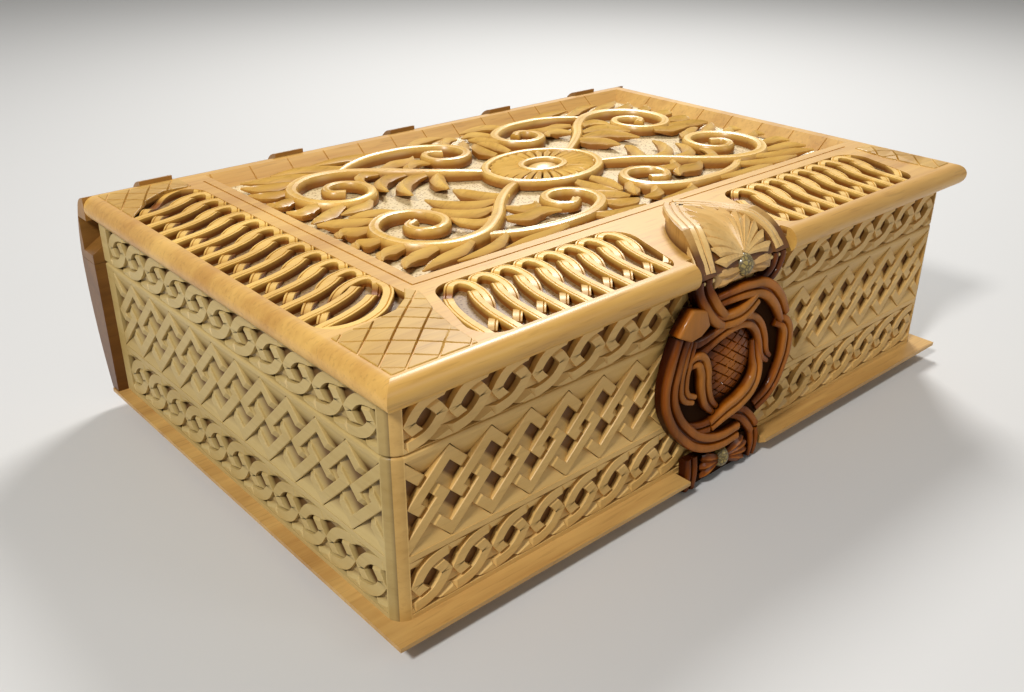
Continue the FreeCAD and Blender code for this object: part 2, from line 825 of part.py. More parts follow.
def palmette():
    low, high = arch_underside, cover_top + arch_crown_height + overrun
    core = arch_plan(arch_strand_width + palmette_fit, low).extrude(V(0, 0, high - low))
    solid = clear_of_cover(core.common(hump(palmette_sink, low)))
    for cutter in petal_cutters():
        solid = solid.cut(cutter)
    return solid.cut(Part.makeSphere(palmette_bead_radius + bead_fit, bead_centre()))


def clasp_pin(side, fit):
    outer = leg_outer_half_width
    x0, x1 = sorted((side * outer, side * (outer - clasp_pin_length)))
    return rod_x(clasp_pin_y, clasp_pin_z, clasp_pin_radius + fit, x0, x1)


def clasp_lug():
    w = lug_half_width
    front = clasp_pin_y - lug_front_cover
    lug = block(-w, w, front, front_face, lug_bottom, arch_underside)
    lug = front_rounded(lug, front, lug_round)
    for side in (-1, 1):
        lug = lug.cut(clasp_pin(side, clasp_pin_fit))
    return lug.cut(Part.makeSphere(palmette_bead_radius + bead_fit, bead_centre()))


# Clasp
def clasp_strap():
    inner, outer = leg_inner_half_width, leg_outer_half_width
    parts = [block(-inner, inner, leg_front, clasp_back, strap_bottom, lug_bottom - lug_bottom_gap)]
    for side in (-1, 1):
        x0, x1 = sorted((side * inner, side * outer))
        parts.append(block(x0, x1, leg_front, clasp_back, strap_bottom, clasp_pin_z - clasp_eye_radius))
        parts.append(block(x0, x1, clasp_pin_y, clasp_back, strap_bottom, clasp_pin_z))
        parts.append(rod_x(clasp_pin_y, clasp_pin_z, clasp_eye_radius, x0, x1))
        parts.append(block(x0, x1, leg_front, clasp_pin_y, strap_bottom, clasp_pin_z))
    strap = joined(parts)
    for side in (-1, 1):
        strap = strap.cut(clasp_pin(side, clasp_pin_fit))
    return strap


def ellipse_disc(half_width, half_height, y0, y1, z):
    major, minor = max(half_width, half_height), min(half_width, half_height)
    curve = Part.Ellipse(V(0, y0, z), major, minor)
    wide = half_width >= half_height
    curve.Axis = V(0, 1, 0)
    curve.XAxis = V(1, 0, 0) if wide else V(0, 0, 1)
    return Part.Face(Part.Wire([curve.toShape()])).extrude(V(0, y1 - y0, 0))


def medallion_blank():
    z = medallion_centre_height
    front = clasp_back - medallion_thickness
    disc = ellipse_disc(medallion_half_width, medallion_half_height, front, clasp_back, z)
    disc = front_rounded(disc, front, medallion_edge_round)
    ring = Part.makeTorus(strapwork_ring_radius, strapwork_width / 2, V(0, front, z), V(0, 1, 0))
    ring = ring.common(rod_y(0, z, medallion_half_width, front - strapwork_height, clasp_back))
    w, y0, y1 = medallion_half_width, front - strapwork_height - overrun, clasp_back + overrun
    above = block(-w, w, y0, y1, strap_bottom, strap_bottom + medallion_half_height)
    return disc.fuse(ring).removeSplitter().cut(above)


def clasp_medallion():
    z = medallion_centre_height
    front = clasp_back - medallion_thickness
    eye = rod_y(0, z, medallion_eye_radius, front - strapwork_height - overrun, front + medallion_eye_depth)
    bore = magnet_radius + magnet_fit
    socket = rod_y(0, magnet_height, bore, clasp_back - magnet_thickness, clasp_back + overrun)
    return medallion_blank().cut(eye).cut(socket)


def clasp_cabochon():
    z = medallion_centre_height
    seat = clasp_back - medallion_thickness + medallion_eye_depth
    shoulder = seat - cabochon_edge
    rise = cabochon_rise
    radius = (cabochon_radius ** 2 + rise ** 2) / (2 * rise)
    ball = Part.makeSphere(radius, V(0, shoulder - rise + radius, z))
    dome = ball.common(rod_y(0, z, cabochon_radius, shoulder - rise - overrun, shoulder))
    return rod_y(0, z, cabochon_radius, shoulder, seat).fuse(dome).removeSplitter()


def clasp_tab():
    x0, x1 = -tab_left, -tab_left + tab_width
    y0 = clasp_back - tab_thickness
    tab = block(x0, x1, y0, clasp_back, tab_bottom, tab_bottom + tab_height)
    tab = front_rounded(tab, y0, tab_round)
    return tab.cut(medallion_blank()).cut(clasp_strap())


def magnets():
    place = V(0, clasp_back - magnet_thickness, magnet_height)
    save("clasp_magnet", Part.makeCylinder(magnet_radius, magnet_thickness, place, V(0, 1, 0)))
    front = V(0, front_face - strike_plate_thickness, magnet_height)
    save("strike_magnet", Part.makeCylinder(magnet_radius, magnet_thickness, front, V(0, 1, 0)))


# Strike plate and carved foot
def strike_plate():
    p = strike_plate_half_width
    front = front_face - strike_plate_thickness
    plate = block(-p, p, front, front_face, strike_plate_bottom, strike_plate_top)
    hole = rod_y(0, magnet_height, magnet_radius + magnet_fit, front - overrun, front_face + overrun)
    return plate.cut(hole)


def catch_centre():
    return V(0, front_face - catch_foot_thickness + catch_bead_inset, catch_bead_height)


def catch_foot():
    f = catch_foot_half_width
    front = front_face - catch_foot_thickness
    inner = base_front + base_notch_depth
    foot = block(-f, f, front, inner, catch_foot_underside, catch_foot_top)
    foot = front_rounded(foot, front, catch_foot_round)
    upper = block(-f, f, inner, front_face, floor, catch_foot_top)
    p, step = strike_plate_half_width, front_face - strike_plate_thickness
    seat = block(-p, p, step, front_face + overrun, strike_plate_bottom, strike_plate_top)
    solid = foot.fuse(upper).removeSplitter().cut(seat)
    centre = catch_centre()
    mid = V(centre.x, 0, centre.z)
    for i in range(catch_groove_count):
        angle = math.pi * (i + 1) / (catch_groove_count + 1)
        along = V(math.cos(angle), 0, -math.sin(angle)) * (2 * f)
        across = V(math.sin(angle), 0, math.cos(angle)) * (catch_groove_width / 2)
        inner_y, outer_y = V(0, front + catch_groove_depth, 0), V(0, front - overrun, 0)
        end = [mid + across + inner_y, mid - across + inner_y, mid - across + outer_y, mid + across + outer_y]
        solid = solid.cut(face_of(end).extrude(along))
    return solid.cut(Part.makeSphere(catch_bead_radius + bead_fit, centre))


body_walls()
lid_rims()
base_board()
save("cover_board", cover_board())
save("relief_scrolls", relief_scrolls())
save("relief_rosette", relief_rosette())
save("lower_spine", lower_spine())
save("upper_spine", upper_spine())
save("lower_spine_bands", raised_bands(floor, seam))
save("upper_spine_bands", raised_bands(rim_bottom, cover_top + raised_band_height))
hinges()
save("cover_arch", cover_arch())
save("palmette", palmette())
save("palmette_bead", Part.makeSphere(palmette_bead_radius, bead_centre()))
save("clasp_lug", clasp_lug())
save("clasp_pins", Part.makeCompound([clasp_pin(side, 0) for side in (-1, 1)]))
save("clasp_strap", clasp_strap())
save("clasp_medallion", clasp_medallion())
save("clasp_cabochon", clasp_cabochon())
save("clasp_tab", clasp_tab())
magnets()
save("strike_plate", strike_plate())
save("catch_foot", catch_foot())
save("catch_bead", Part.makeSphere(catch_bead_radius, catch_centre()))
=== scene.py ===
# %% [markdown]
# # A carved book box
# The object is a wooden keepsake box cut like a thick closed book: two walnut boards, a pale page block
# with interlaced carving, a rounded spine and a carved clasp. The construction comes ready made as a fixed
# frame. Here every surface gets its finish, and the carving is laid into the sunk fields that the
# construction has.

# %% Load the construction
import math
import bpy
from mathutils import Matrix, Vector


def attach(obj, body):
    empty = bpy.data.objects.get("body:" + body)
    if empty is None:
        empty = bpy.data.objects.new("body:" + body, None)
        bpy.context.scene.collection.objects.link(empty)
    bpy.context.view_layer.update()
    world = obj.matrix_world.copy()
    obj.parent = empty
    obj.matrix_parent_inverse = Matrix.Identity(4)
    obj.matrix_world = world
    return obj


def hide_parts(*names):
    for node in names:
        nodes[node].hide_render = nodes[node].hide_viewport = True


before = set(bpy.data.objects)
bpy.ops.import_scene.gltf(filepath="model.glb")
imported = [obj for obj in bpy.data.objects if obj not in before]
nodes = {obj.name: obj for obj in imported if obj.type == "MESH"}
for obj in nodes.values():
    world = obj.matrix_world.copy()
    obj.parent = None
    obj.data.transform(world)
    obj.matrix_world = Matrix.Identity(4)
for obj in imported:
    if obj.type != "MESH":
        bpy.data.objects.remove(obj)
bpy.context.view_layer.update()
mm = 0.001
print("nodes loaded:", len(nodes))

# %% [markdown]
# ## Camera and light
# The photograph looks down over the near corner of the box, from above and to the left of the clasp, with a
# moderate lens. The camera repeats that view. The light is a plain soft studio: one lamp behind and to the
# right draws bright lines along the carved ridges, one high on the left rakes over the carving of both
# walls, and a weak one fills the shadows in front. The world gives little light, but the camera, metal and
# varnish see it as a pale backdrop.


# %% Camera
def put_in_scene(name, data):
    holder = bpy.data.objects.new(name, data)
    bpy.context.scene.collection.objects.link(holder)
    return holder


camera_data = bpy.data.cameras.new("studio_camera")
camera_data.sensor_width = 36.0
camera_data.lens = 35.9
camera_data.clip_start = 0.01
camera = put_in_scene("studio_camera", camera_data)
camera.location = (-0.2824, -0.2994, 0.2218)
camera.rotation_euler = [math.radians(angle) for angle in (63.47, -0.2, -41.46)]
bpy.context.scene.camera = camera
bpy.context.scene.view_settings.view_transform = "Standard"
print("camera at", tuple(round(value, 3) for value in camera.location))


# %% Lamps and world
def area_lamp(name, place, size, power):
    lamp = bpy.data.lights.new(name, "AREA")
    lamp.shape = "DISK"
    lamp.size = size
    lamp.energy = power
    holder = put_in_scene(name, lamp)
    holder.location = place
    direction = Vector(box_middle) - Vector(place)
    holder.rotation_euler = direction.to_track_quat("-Z", "Y").to_euler()


def added(tree, kind, **values):
    node = tree.nodes.new("ShaderNode" + kind)
    for name, value in values.items():
        node.inputs[name.replace("_", " ").title()].default_value = value
    return node


def is_socket(value):
    return isinstance(value, bpy.types.NodeSocket)


def feed(value, socket):
    if is_socket(value):
        socket.id_data.links.new(value, socket)
    else:
        socket.default_value = value


def combined(operation, first, second):
    node = added((first if is_socket(first) else second).id_data, "Math")
    node.operation = operation
    feed(first, node.inputs[0])
    feed(second, node.inputs[1])
    return node.outputs["Value"]


box_middle = (0, 0, 0.05)
area_lamp("back_lamp", (0.62, 0.55, 0.90), size=0.35, power=11.8)
area_lamp("left_key", (-0.95, -0.33, 1.0), size=0.2, power=13.8)
area_lamp("front_fill", (0.45, -1.0, 0.55), size=0.4, power=1.3)
studio_grey = (0.62, 0.61, 0.59, 1)
world = bpy.data.worlds.new("studio_world")
bpy.context.scene.world = world
world.use_nodes = True
sky = world.node_tree
sky.nodes["Background"].inputs["Color"].default_value = (0.95, 0.94, 0.92, 1)
sky.nodes["Background"].inputs["Strength"].default_value = 0.17
backdrop = added(sky, "Background", color=studio_grey)
ray = added(sky, "LightPath").outputs
mirrored = combined("MAXIMUM", ray["Is Glossy Ray"], ray["Is Transmission Ray"])
seen = combined("MAXIMUM", ray["Is Camera Ray"], mirrored)
both = added(sky, "MixShader")
feed(seen, both.inputs["Fac"])
feed(sky.nodes["Background"].outputs["Background"], both.inputs[1])
feed(backdrop.outputs["Background"], both.inputs[2])
feed(both.outputs["Shader"], sky.nodes["World Output"].inputs["Surface"])

# %% [markdown]
# ## Wood
# Wood is drawn with three layers: broad bands of lighter and darker growth, fine fibres stretched along the
# grain, and short dark pores. All of them read the object's own coordinates, squeezed along the grain, so
# that the pattern runs through every board in one direction. A thin varnish is the coat of the shader. Each
# wood is given its light and dark colour, the direction of its grain, how much varnish it has and how rough
# it is.


# %% A wood finish
def place_in(tree):
    return added(tree, "TexCoord").outputs["Object"]


def new_finish(name, roughness):
    material = bpy.data.materials.new(name)
    material.use_nodes = True
    tree = material.node_tree
    shader = tree.nodes["Principled BSDF"].inputs
    shader["Roughness"].default_value = roughness
    return material, tree, shader, place_in(tree)


def two_colours(value, low, dark, high, light):
    ramp = added(value.id_data, "ValToRGB")
    for stop, place, colour in zip(ramp.color_ramp.elements, (low, high), (dark, light)):
        stop.position = place
        stop.color = (*colour, 1)
    feed(value, ramp.inputs["Fac"])
    return ramp.outputs["Color"]


def mixed(blend, share, first, second):
    layer = added(first.id_data, "Mix")
    layer.data_type = "RGBA"
    layer.blend_type = blend
    for name, value in zip(("Factor", "A", "B"), (share, first, second)):
        feed(value, layer.inputs[name])
    return layer.outputs["Result"]


def dented(height, shader, strength, depth):
    bump = added(height.id_data, "Bump", strength=strength, distance=depth * mm)
    feed(height, bump.inputs["Height"])
    feed(bump.outputs["Normal"], shader["Normal"])


def wood(name, light, dark, grain_axis, varnish, roughness, pore=0.25):
    material, tree, shader, place = new_finish(name, roughness)
    shader["Coat Weight"].default_value = varnish
    shader["Coat Roughness"].default_value = 0.26
    shader["Specular IOR Level"].default_value = 0.35
    squeeze = [1.0, 1.0, 1.0]
    squeeze[grain_axis] = 0.08
    mapping = added(tree, "Mapping", scale=squeeze)
    feed(place, mapping.inputs["Vector"])
    bands = added(tree, "TexNoise", scale=42, detail=4, distortion=0.8)
    fibres = added(tree, "TexNoise", scale=420, detail=3)
    pores = added(tree, "TexNoise", scale=900, detail=1)
    for texture in (bands, fibres, pores):
        feed(mapping.outputs["Vector"], texture.inputs["Vector"])

    growth = added(tree, "Mix", factor=0.25)
    feed(bands.outputs["Fac"], growth.inputs["A"])
    feed(fibres.outputs["Fac"], growth.inputs["B"])
    plain = two_colours(growth.outputs["Result"], 0.36, dark, 0.62, light)
    specks = two_colours(pores.outputs["Fac"], 0.30, (0.45, 0.38, 0.32), 0.42, (1, 1, 1))
    feed(mixed("MULTIPLY", pore, plain, specks), shader["Base Color"])
    dented(fibres.outputs["Fac"], shader, 0.25, 0.15)
    return material


X_AXIS, Y_AXIS, Z_AXIS = 0, 1, 2
pale_along_x = wood("pale_wood_long", (0.72, 0.46, 0.155), (0.58, 0.35, 0.10), X_AXIS, 0.12, 0.5, 0.12)
pale_along_y = wood("pale_wood_short", (0.53, 0.39, 0.155), (0.43, 0.295, 0.095), Y_AXIS, 0.12, 0.5, 0.12)
cover_wood = wood("cover_walnut", (0.70, 0.405, 0.095), (0.50, 0.245, 0.045), X_AXIS, 0.25, 0.42)
# Painted shade: the pads get a darker copy of the cover walnut, so that the light they catch shows less
# bright.
shaded_pad_wood = wood("shaded_pad_walnut", (0.60, 0.36, 0.08), (0.42, 0.22, 0.035), X_AXIS, 0.1, 0.5)
base_wood = wood("base_walnut", (0.62, 0.38, 0.12), (0.42, 0.22, 0.06), X_AXIS, 0.2, 0.45)
# The spine walnut is darker than the cover: partly its own darker wood, partly painted shade for the side
# turned from the light.
spine_wood = wood("spine_walnut", (0.36, 0.175, 0.035), (0.22, 0.095, 0.015), X_AXIS, 0.2, 0.4)
arch_wood = wood("arch_walnut", (0.78, 0.51, 0.19), (0.60, 0.35, 0.10), Y_AXIS, 0.25, 0.4)
# Painted shade: a darker copy of the arch walnut for the flanks of the arch and the palmette, which stand in
# shade.
arch_shaded_side = wood("arch_shaded_side_walnut", (0.56, 0.32, 0.085), (0.38, 0.19, 0.04), Z_AXIS, 0.1, 0.5)
clasp_wood = wood("clasp_walnut", (0.40, 0.100, 0.003), (0.16, 0.036, 0.001), Z_AXIS, 0.22, 0.4)
# Painted shadow: a nearly black walnut for the back of the clasp and of the foot, standing in for the deep
# shade between the carving.
painted_shadow_wood = wood("painted_shadow_walnut", (0.030, 0.010, 0.002), (0.018, 0.006, 0.001), Z_AXIS, 0.0, 0.8)
for material, setting, value in (
        (clasp_wood, "Specular IOR Level", 0.05), (clasp_wood, "Coat Roughness", 0.13),
        (painted_shadow_wood, "Specular IOR Level", 0.04)):
    material.node_tree.nodes["Principled BSDF"].inputs[setting].default_value = value
print("wood finishes:", len(bpy.data.materials))

# %% [markdown]
# The hollows of the carving are painted darker: painted shade for the light that hardly reaches them. The
# place of a point tells how deep it lies under the face of its board, so the finish can darken with that
# depth. A shade ramp is a list of places in millimetres, each with its strength. The bottom of the large tray
# and of the open fields is punched with small dots, which makes it look pale and grainy.


# %% Painted shade in the hollows
def between(value, shape):
    ramp = added(value.id_data, "ValToRGB")
    stops = ramp.color_ramp.elements
    stops.remove(stops[1])
    low, high = shape[0][0], shape[-1][0]
    for index, (place, amount) in enumerate(shape):
        share = (place - low) / (high - low)
        stop = stops.new(share) if index else stops[0]
        stop.position = share
        stop.color = (amount, amount, amount, 1)
    scale = added(value.id_data, "MapRange", from_min=low * mm, from_max=high * mm)
    feed(value, scale.inputs["Value"])
    feed(scale.outputs["Result"], ramp.inputs["Fac"])
    return ramp.outputs["Color"]


def past(axis, edge):
    return combined("SUBTRACT", axis, edge * mm)


def short_of(axis, edge):
    return combined("SUBTRACT", edge * mm, axis)


def axes_of(material):
    axes = added(material.node_tree, "SeparateXYZ")
    feed(place_in(material.node_tree), axes.inputs["Vector"])
    return axes.outputs["X"], axes.outputs["Y"], axes.outputs["Z"]


def tint(material, amount, colour, blend="MULTIPLY"):
    base = material.node_tree.nodes["Principled BSDF"].inputs["Base Color"]
    overlay = colour if is_socket(colour) else (*colour, 1)
    feed(mixed(blend, amount, base.links[0].from_socket, overlay), base)


def punched_dots(tree, pale, dark, size):
    dots = added(tree, "TexVoronoi", scale=1000 / size)
    feed(place_in(tree), dots.inputs["Vector"])
    return two_colours(dots.outputs["Distance"], 0.18, dark, 0.42, pale)


wall_end, wall_front = 150, -99
long_wall_shade = [(0, 0), (1.95, 0), (2.4, 0.9), (3.3, 1), (3.8, 0), (6, 0)]
short_wall_shade = [(0, 0), (0.9, 0), (1.6, 0.4), (2.2, 0.9), (3.3, 1), (3.8, 0), (6, 0)]
# Painted shade: the pale walls darken with depth under the wall face, in the holes of the carved bands.
for material, overlay in ((pale_along_x, long_wall_shade), (pale_along_y, short_wall_shade)):
    x, y, z = axes_of(material)
    from_middle = combined("ABSOLUTE", x, 0)
    depth = combined("MINIMUM", short_of(from_middle, wall_end), past(y, wall_front))
    tint(material, between(depth, overlay), (0.17, 0.085, 0.03))
    # Painted shade: the rounded corner post at the front is darkened, as if it were less lit.
    shaded_post = combined("MULTIPLY", between(from_middle, [(144.9, 0), (145.2, 1)]),
                    between(y, [(-94.3, 1), (-93.9, 0)]))
    tint(material, shaded_post, (0.78, 0.74, 0.66))

tray_near, tray_end = (-107, -58.5), (138.8, 88.8)
nose_front = -101.8
x, y, z = axes_of(cover_wood)
outside = combined("MINIMUM", past(x, tray_near[0]), past(y, tray_near[1]))
near_edges = combined("MINIMUM", past(x, -wall_end), past(y, nose_front))
from_edge = combined("MINIMUM", near_edges, short_of(x, wall_end))
tray_far = combined("MINIMUM", short_of(x, tray_end[0]), short_of(y, tray_end[1]))
field_mask = combined("MULTIPLY", between(outside, [(-0.5, 1), (0.5, 0)]),
                      between(from_edge, [(-0.1, 0), (0.1, 1)]))
tray_mask = combined("MULTIPLY", between(outside, [(-0.5, 0), (0.5, 1)]),
                     between(tray_far, [(-0.2, 0), (0.1, 1)]))
field_bottom = between(z, [(90.8, 0), (91.1, 1), (91.4, 1), (91.9, 0)])
tray_bottom = between(z, [(88.2, 0), (88.5, 1), (89.1, 1), (89.5, 0)])
field_flanks = between(z, [(90.8, 0), (91.1, 1), (92.6, 0.9), (94.2, 0)])
field_ground = combined("MULTIPLY", field_mask, field_bottom)
tray_ground = combined("MULTIPLY", tray_mask, tray_bottom)
ground_dots = punched_dots(cover_wood.node_tree, (0.70, 0.54, 0.28), (0.30, 0.16, 0.05), 1.3)
# Painted shade: the flanks of the loop fields darken towards their ground.
tint(cover_wood, combined("MULTIPLY", field_mask, field_flanks), (0.26, 0.13, 0.05))
tint(cover_wood, combined("ADD", field_ground, tray_ground), ground_dots, "MIX")
# Painted shade: the ground of the loop fields is darkened where the ribbons shade it; the punched dots above
# are the wood's own texture.
tint(cover_wood, field_ground, (0.34, 0.23, 0.12))

relief_wood = wood("relief_walnut", (0.82, 0.515, 0.12), (0.62, 0.345, 0.06), X_AXIS, 0.3, 0.38)
loop_wood = wood("loop_walnut", (0.82, 0.515, 0.12), (0.62, 0.345, 0.06), X_AXIS, 0.12, 0.45)
painted_shade_ramps = (
    # Painted shade: the relief and the loops darken towards the ground they stand on.
    (relief_wood, Z_AXIS, [(88.5, 1), (91.0, 0.9), (93.2, 0)], (0.34, 0.18, 0.08)),
    (loop_wood, Z_AXIS, [(91, 1), (92.6, 1), (94.1, 0)], (0.34, 0.18, 0.08)),
    # Painted shade: the clasp darkens towards its deep back between the straps.
    (clasp_wood, Y_AXIS, [(-105.4, 0), (-104.4, 0.4), (-103.0, 1), (-100, 1)], (0.10, 0.055, 0.03)),
    # Painted shade: the spine darkens lower down, away from the light.
    (spine_wood, Z_AXIS, [(15, 1), (60, 0.8), (96, 0)], (0.40, 0.30, 0.22)),
    # Painted shade: the shaded copy of the arch walnut is darker still below the cover face.
    (arch_shaded_side, Z_AXIS, [(90, 1), (95.2, 1), (98.5, 0)], (0.30, 0.19, 0.10)),
    # Painted shade: the golden arch wood darkens lower down, on the lug under the cover's edge.
    (arch_wood, Z_AXIS, [(83, 0.7), (89, 0.35), (92, 0)], (0.52, 0.38, 0.26)),
)
for material, axis, overlay, colour in painted_shade_ramps:
    tint(material, between(axes_of(material)[axis], overlay), colour)
# Painted highlight: the outermost ridges of the clasp are lightened, as where the light catches them.
painted_highlight_tops = between(axes_of(clasp_wood)[Y_AXIS], [(-107, 0.42), (-105.8, 0.3), (-104.8, 0)])
tint(clasp_wood, painted_highlight_tops, (0.62, 0.29, 0.06), "MIX")
print("stained finishes:", len(bpy.data.materials))


# %% [markdown]
# ## Metal and the two beads
# The hinges, pins and the strike plate are satin brass with faint scratches. The magnets are nickel plated.
# The beads above and below the clasp have an olive gold colour with a crackled surface.

# %% Metal and bead finishes
def metal(name, colour, roughness):
    material, tree, shader, place = new_finish(name, roughness)
    shader["Metallic"].default_value = 1.0
    scratches = added(tree, "TexNoise", scale=260, detail=6)
    feed(place, scratches.inputs["Vector"])
    dull = [part * 0.72 for part in colour]
    feed(two_colours(scratches.outputs["Fac"], 0, dull, 1, colour), shader["Base Color"])
    spread = added(tree, "MapRange", to_min=roughness - 0.08, to_max=roughness + 0.12)
    feed(scratches.outputs["Fac"], spread.inputs["Value"])
    feed(spread.outputs["Result"], shader["Roughness"])
    return material


def bead_finish():
    material, tree, shader, place = new_finish("olive_gold_bead", 0.45)
    shader["Coat Weight"].default_value = 0.3
    cracks = added(tree, "TexVoronoi", scale=620)
    cracks.feature = "DISTANCE_TO_EDGE"
    feed(place, cracks.inputs["Vector"])
    far_in = cracks.outputs["Distance"]
    gold = two_colours(far_in, 0.02, (0.075, 0.05, 0.012), 0.22, (0.32, 0.23, 0.06))
    feed(gold, shader["Base Color"])
    dented(far_in, shader, 0.5, 0.2)
    return material


brass = metal("satin_brass", (0.78, 0.58, 0.25), 0.32)
nickel = metal("nickel_plate", (0.62, 0.62, 0.64), 0.25)
bead_gold = bead_finish()
print("finishes:", [m.name for m in bpy.data.materials][:12])


# %% [markdown]
# The name of a construction node tells what it is made of, so one short function picks its finish.


# %% Give each construction node its finish
def finish_for(node):
    if "hinge" in node or node in ("strike_plate", "clasp_pins"):
        return brass
    if "magnet" in node:
        return nickel
    if "bead" in node:
        return bead_gold
    if node.endswith("_wall") or node.endswith("_rim"):
        return pale_along_y if "tail" in node or "head" in node else pale_along_x
    if node == "base_board":
        return base_wood
    if node == "cover_board":
        return cover_wood
    if "spine" in node:
        return spine_wood
    # Painted shade: palmette and arch take the darker, shaded copy of the arch walnut.
    if node in ("palmette", "cover_arch"):
        return arch_shaded_side
    if node == "clasp_lug":
        return arch_wood
    return clasp_wood


for name, node in nodes.items():
    node.data.materials.clear()
    node.data.materials.append(finish_for(name))
print("nodes finished:", len(nodes))

# %% [markdown]
# ## Floor
# The box stands on a plain pale table top, wide enough that its edge is out of sight.

# %% Floor
bpy.ops.object.select_all(action="DESELECT")
bpy.ops.mesh.primitive_plane_add(size=6)
floor = bpy.context.object
floor.name = "studio_floor"
floor_paint = bpy.data.materials.new("floor_paint")
floor_paint.use_nodes = True
paint = floor_paint.node_tree.nodes["Principled BSDF"].inputs
paint["Base Color"].default_value = studio_grey
paint["Roughness"].default_value = 0.7
floor.data.materials.append(floor_paint)
print("floor size:", tuple(round(value, 2) for value in floor.dimensions))

# %% [markdown]
# ## Tools of the bench
# Most of the carving is a flat ribbon, so a few small helpers are enough. One draws a closed outline and
# fills it, one makes it thick, one picks the faces or corners to work on by their place and one pushes them
# down. The last one turns a finished carving from the flat work table, where right is X, up is Y and out of
# the wood is Z, onto the wall that it decorates, and gives it its material and the body that it rides on.

# %% Helpers for drawing and picking
import bmesh


def make_active(piece):
    bpy.ops.object.select_all(action="DESELECT")
    piece.select_set(True)
    bpy.context.view_layer.objects.active = piece


def edit_all(piece):
    make_active(piece)
    bpy.ops.object.mode_set(mode="EDIT")
    bpy.ops.mesh.select_mode(type="VERT")
    bpy.ops.mesh.select_all(action="SELECT")


def normals_out():
    bpy.ops.mesh.select_all(action="SELECT")
    bpy.ops.mesh.normals_make_consistent(inside=False)
    bpy.ops.object.mode_set(mode="OBJECT")


def pick(piece, kind, wanted):
    bpy.ops.mesh.select_mode(type=kind)
    shape = bmesh.from_edit_mesh(piece.data)
    for part in shape.verts if kind == "VERT" else shape.faces:
        part.select = wanted(part.co if kind == "VERT" else part.calc_center_median())
    shape.select_flush_mode()
    bmesh.update_edit_mesh(piece.data)


def mesh_of(name, curve):
    make_active(put_in_scene(name, curve))
    bpy.ops.object.convert(target="MESH")
    piece = bpy.context.object
    edit_all(piece)
    bpy.ops.mesh.remove_doubles(threshold=0.01 * mm)
    return piece


def drawn_face(name, points, sharp, steps=4):
    curve = bpy.data.curves.new(name, "CURVE")
    curve.dimensions = "2D"
    curve.fill_mode = "NONE"
    curve.resolution_u = steps
    spline = curve.splines.new("BEZIER")
    spline.bezier_points.add(len(points) - 1)
    for index, (knot, place) in enumerate(zip(spline.bezier_points, points)):
        knot.co = (place[0] * mm, place[1] * mm, 0)
        kind = "VECTOR" if index in sharp else "AUTO"
        knot.handle_left_type = kind
        knot.handle_right_type = kind
    spline.use_cyclic_u = True
    piece = mesh_of(name, curve)
    bpy.ops.mesh.edge_face_add()
    bpy.ops.object.mode_set(mode="OBJECT")
    return piece


def thicken(piece, thick):
    edit_all(piece)
    bpy.ops.mesh.extrude_region_move(TRANSFORM_OT_translate={"value": (0, 0, -thick * mm)})
    normals_out()


def push_down(piece, wanted, drop):
    edit_all(piece)
    pick(piece, "VERT", wanted)
    bpy.ops.transform.translate(value=(0, 0, -drop * mm))
    bpy.ops.object.mode_set(mode="OBJECT")


def moved(piece, x, y, z):
    piece.data.transform(Matrix.Translation((x * mm, y * mm, z * mm)))


def copy_of(model, name, matrix):
    piece = put_in_scene(name, model.data.copy())
    piece.data.transform(matrix)
    return piece


def joined(pieces, name):
    make_active(pieces[0])
    for piece in pieces:
        piece.select_set(True)
    if len(pieces) > 1:
        bpy.ops.object.join()
    piece = bpy.context.object
    piece.name = name
    return piece


def finished(piece, material, rides, wall=None):
    if wall:
        piece.data.transform(onto[wall])
    piece.data.materials.clear()
    piece.data.materials.append(material)
    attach(piece, rides)


onto = {
    "front": Matrix(((1, 0, 0, 0), (0, 0, -1, wall_front * mm), (0, 1, 0, 0), (0, 0, 0, 1))),
    "tail": Matrix(((0, 0, -1, -wall_end * mm), (-1, 0, 0, 0), (0, 1, 0, 0), (0, 0, 0, 1))),
    "head": Matrix(((0, 0, 1, wall_end * mm), (1, 0, 0, 0), (0, 1, 0, 0), (0, 0, 0, 1))),
}
print("helpers ready, walls:", list(onto))

# %% [markdown]
# ## The plaited ribbon, one link at a time
# Each band is a row of equal closed links. Every link overlaps the next one, and at each crossing the side
# that leans like a slash stays on top while the other side goes down and passes under it. One link is
# carved: its outline is filled, inset to a ribbon, extruded into the wood, and cut along the neighbour's
# edges, where it is lowered with a short slope. All other links are copies of it.


# %% One link
def ribbon_link(name, points, sharp, steps):
    link = drawn_face(name, points, sharp, steps)
    edit_all(link)
    bpy.ops.mesh.select_mode(type="FACE")
    bpy.ops.mesh.select_all(action="SELECT")
    bpy.ops.mesh.inset(thickness=ribbon_width * mm)
    bpy.ops.mesh.delete(type="FACE")
    bpy.ops.object.mode_set(mode="OBJECT")
    thicken(link, link_depth)
    return link


def dive_under(link, side, slant, start, stop, run, drop):
    across = Vector((-math.sin(slant), math.cos(slant), 0))
    edge = 0.02 * mm
    parts = 6
    bpy.ops.object.mode_set(mode="EDIT")
    for place in (start - run, start, stop, stop + run):
        pick(link, "FACE", lambda middle: middle.x * side > 0 and middle.y * side > 0)
        bpy.ops.mesh.bisect(plane_co=across * place * mm, plane_no=across)
    for part in range(parts):
        more = run * part / parts
        low, high = (start - more) * mm - edge, (stop + more) * mm + edge
        pick(link, "VERT", lambda place: place.x * side > -edge and place.y * side > -edge
             and place.z > -2.2 * mm and low < place.dot(across) < high)
        bpy.ops.transform.translate(value=(0, 0, -drop / parts * mm))
    bpy.ops.object.mode_set(mode="OBJECT")


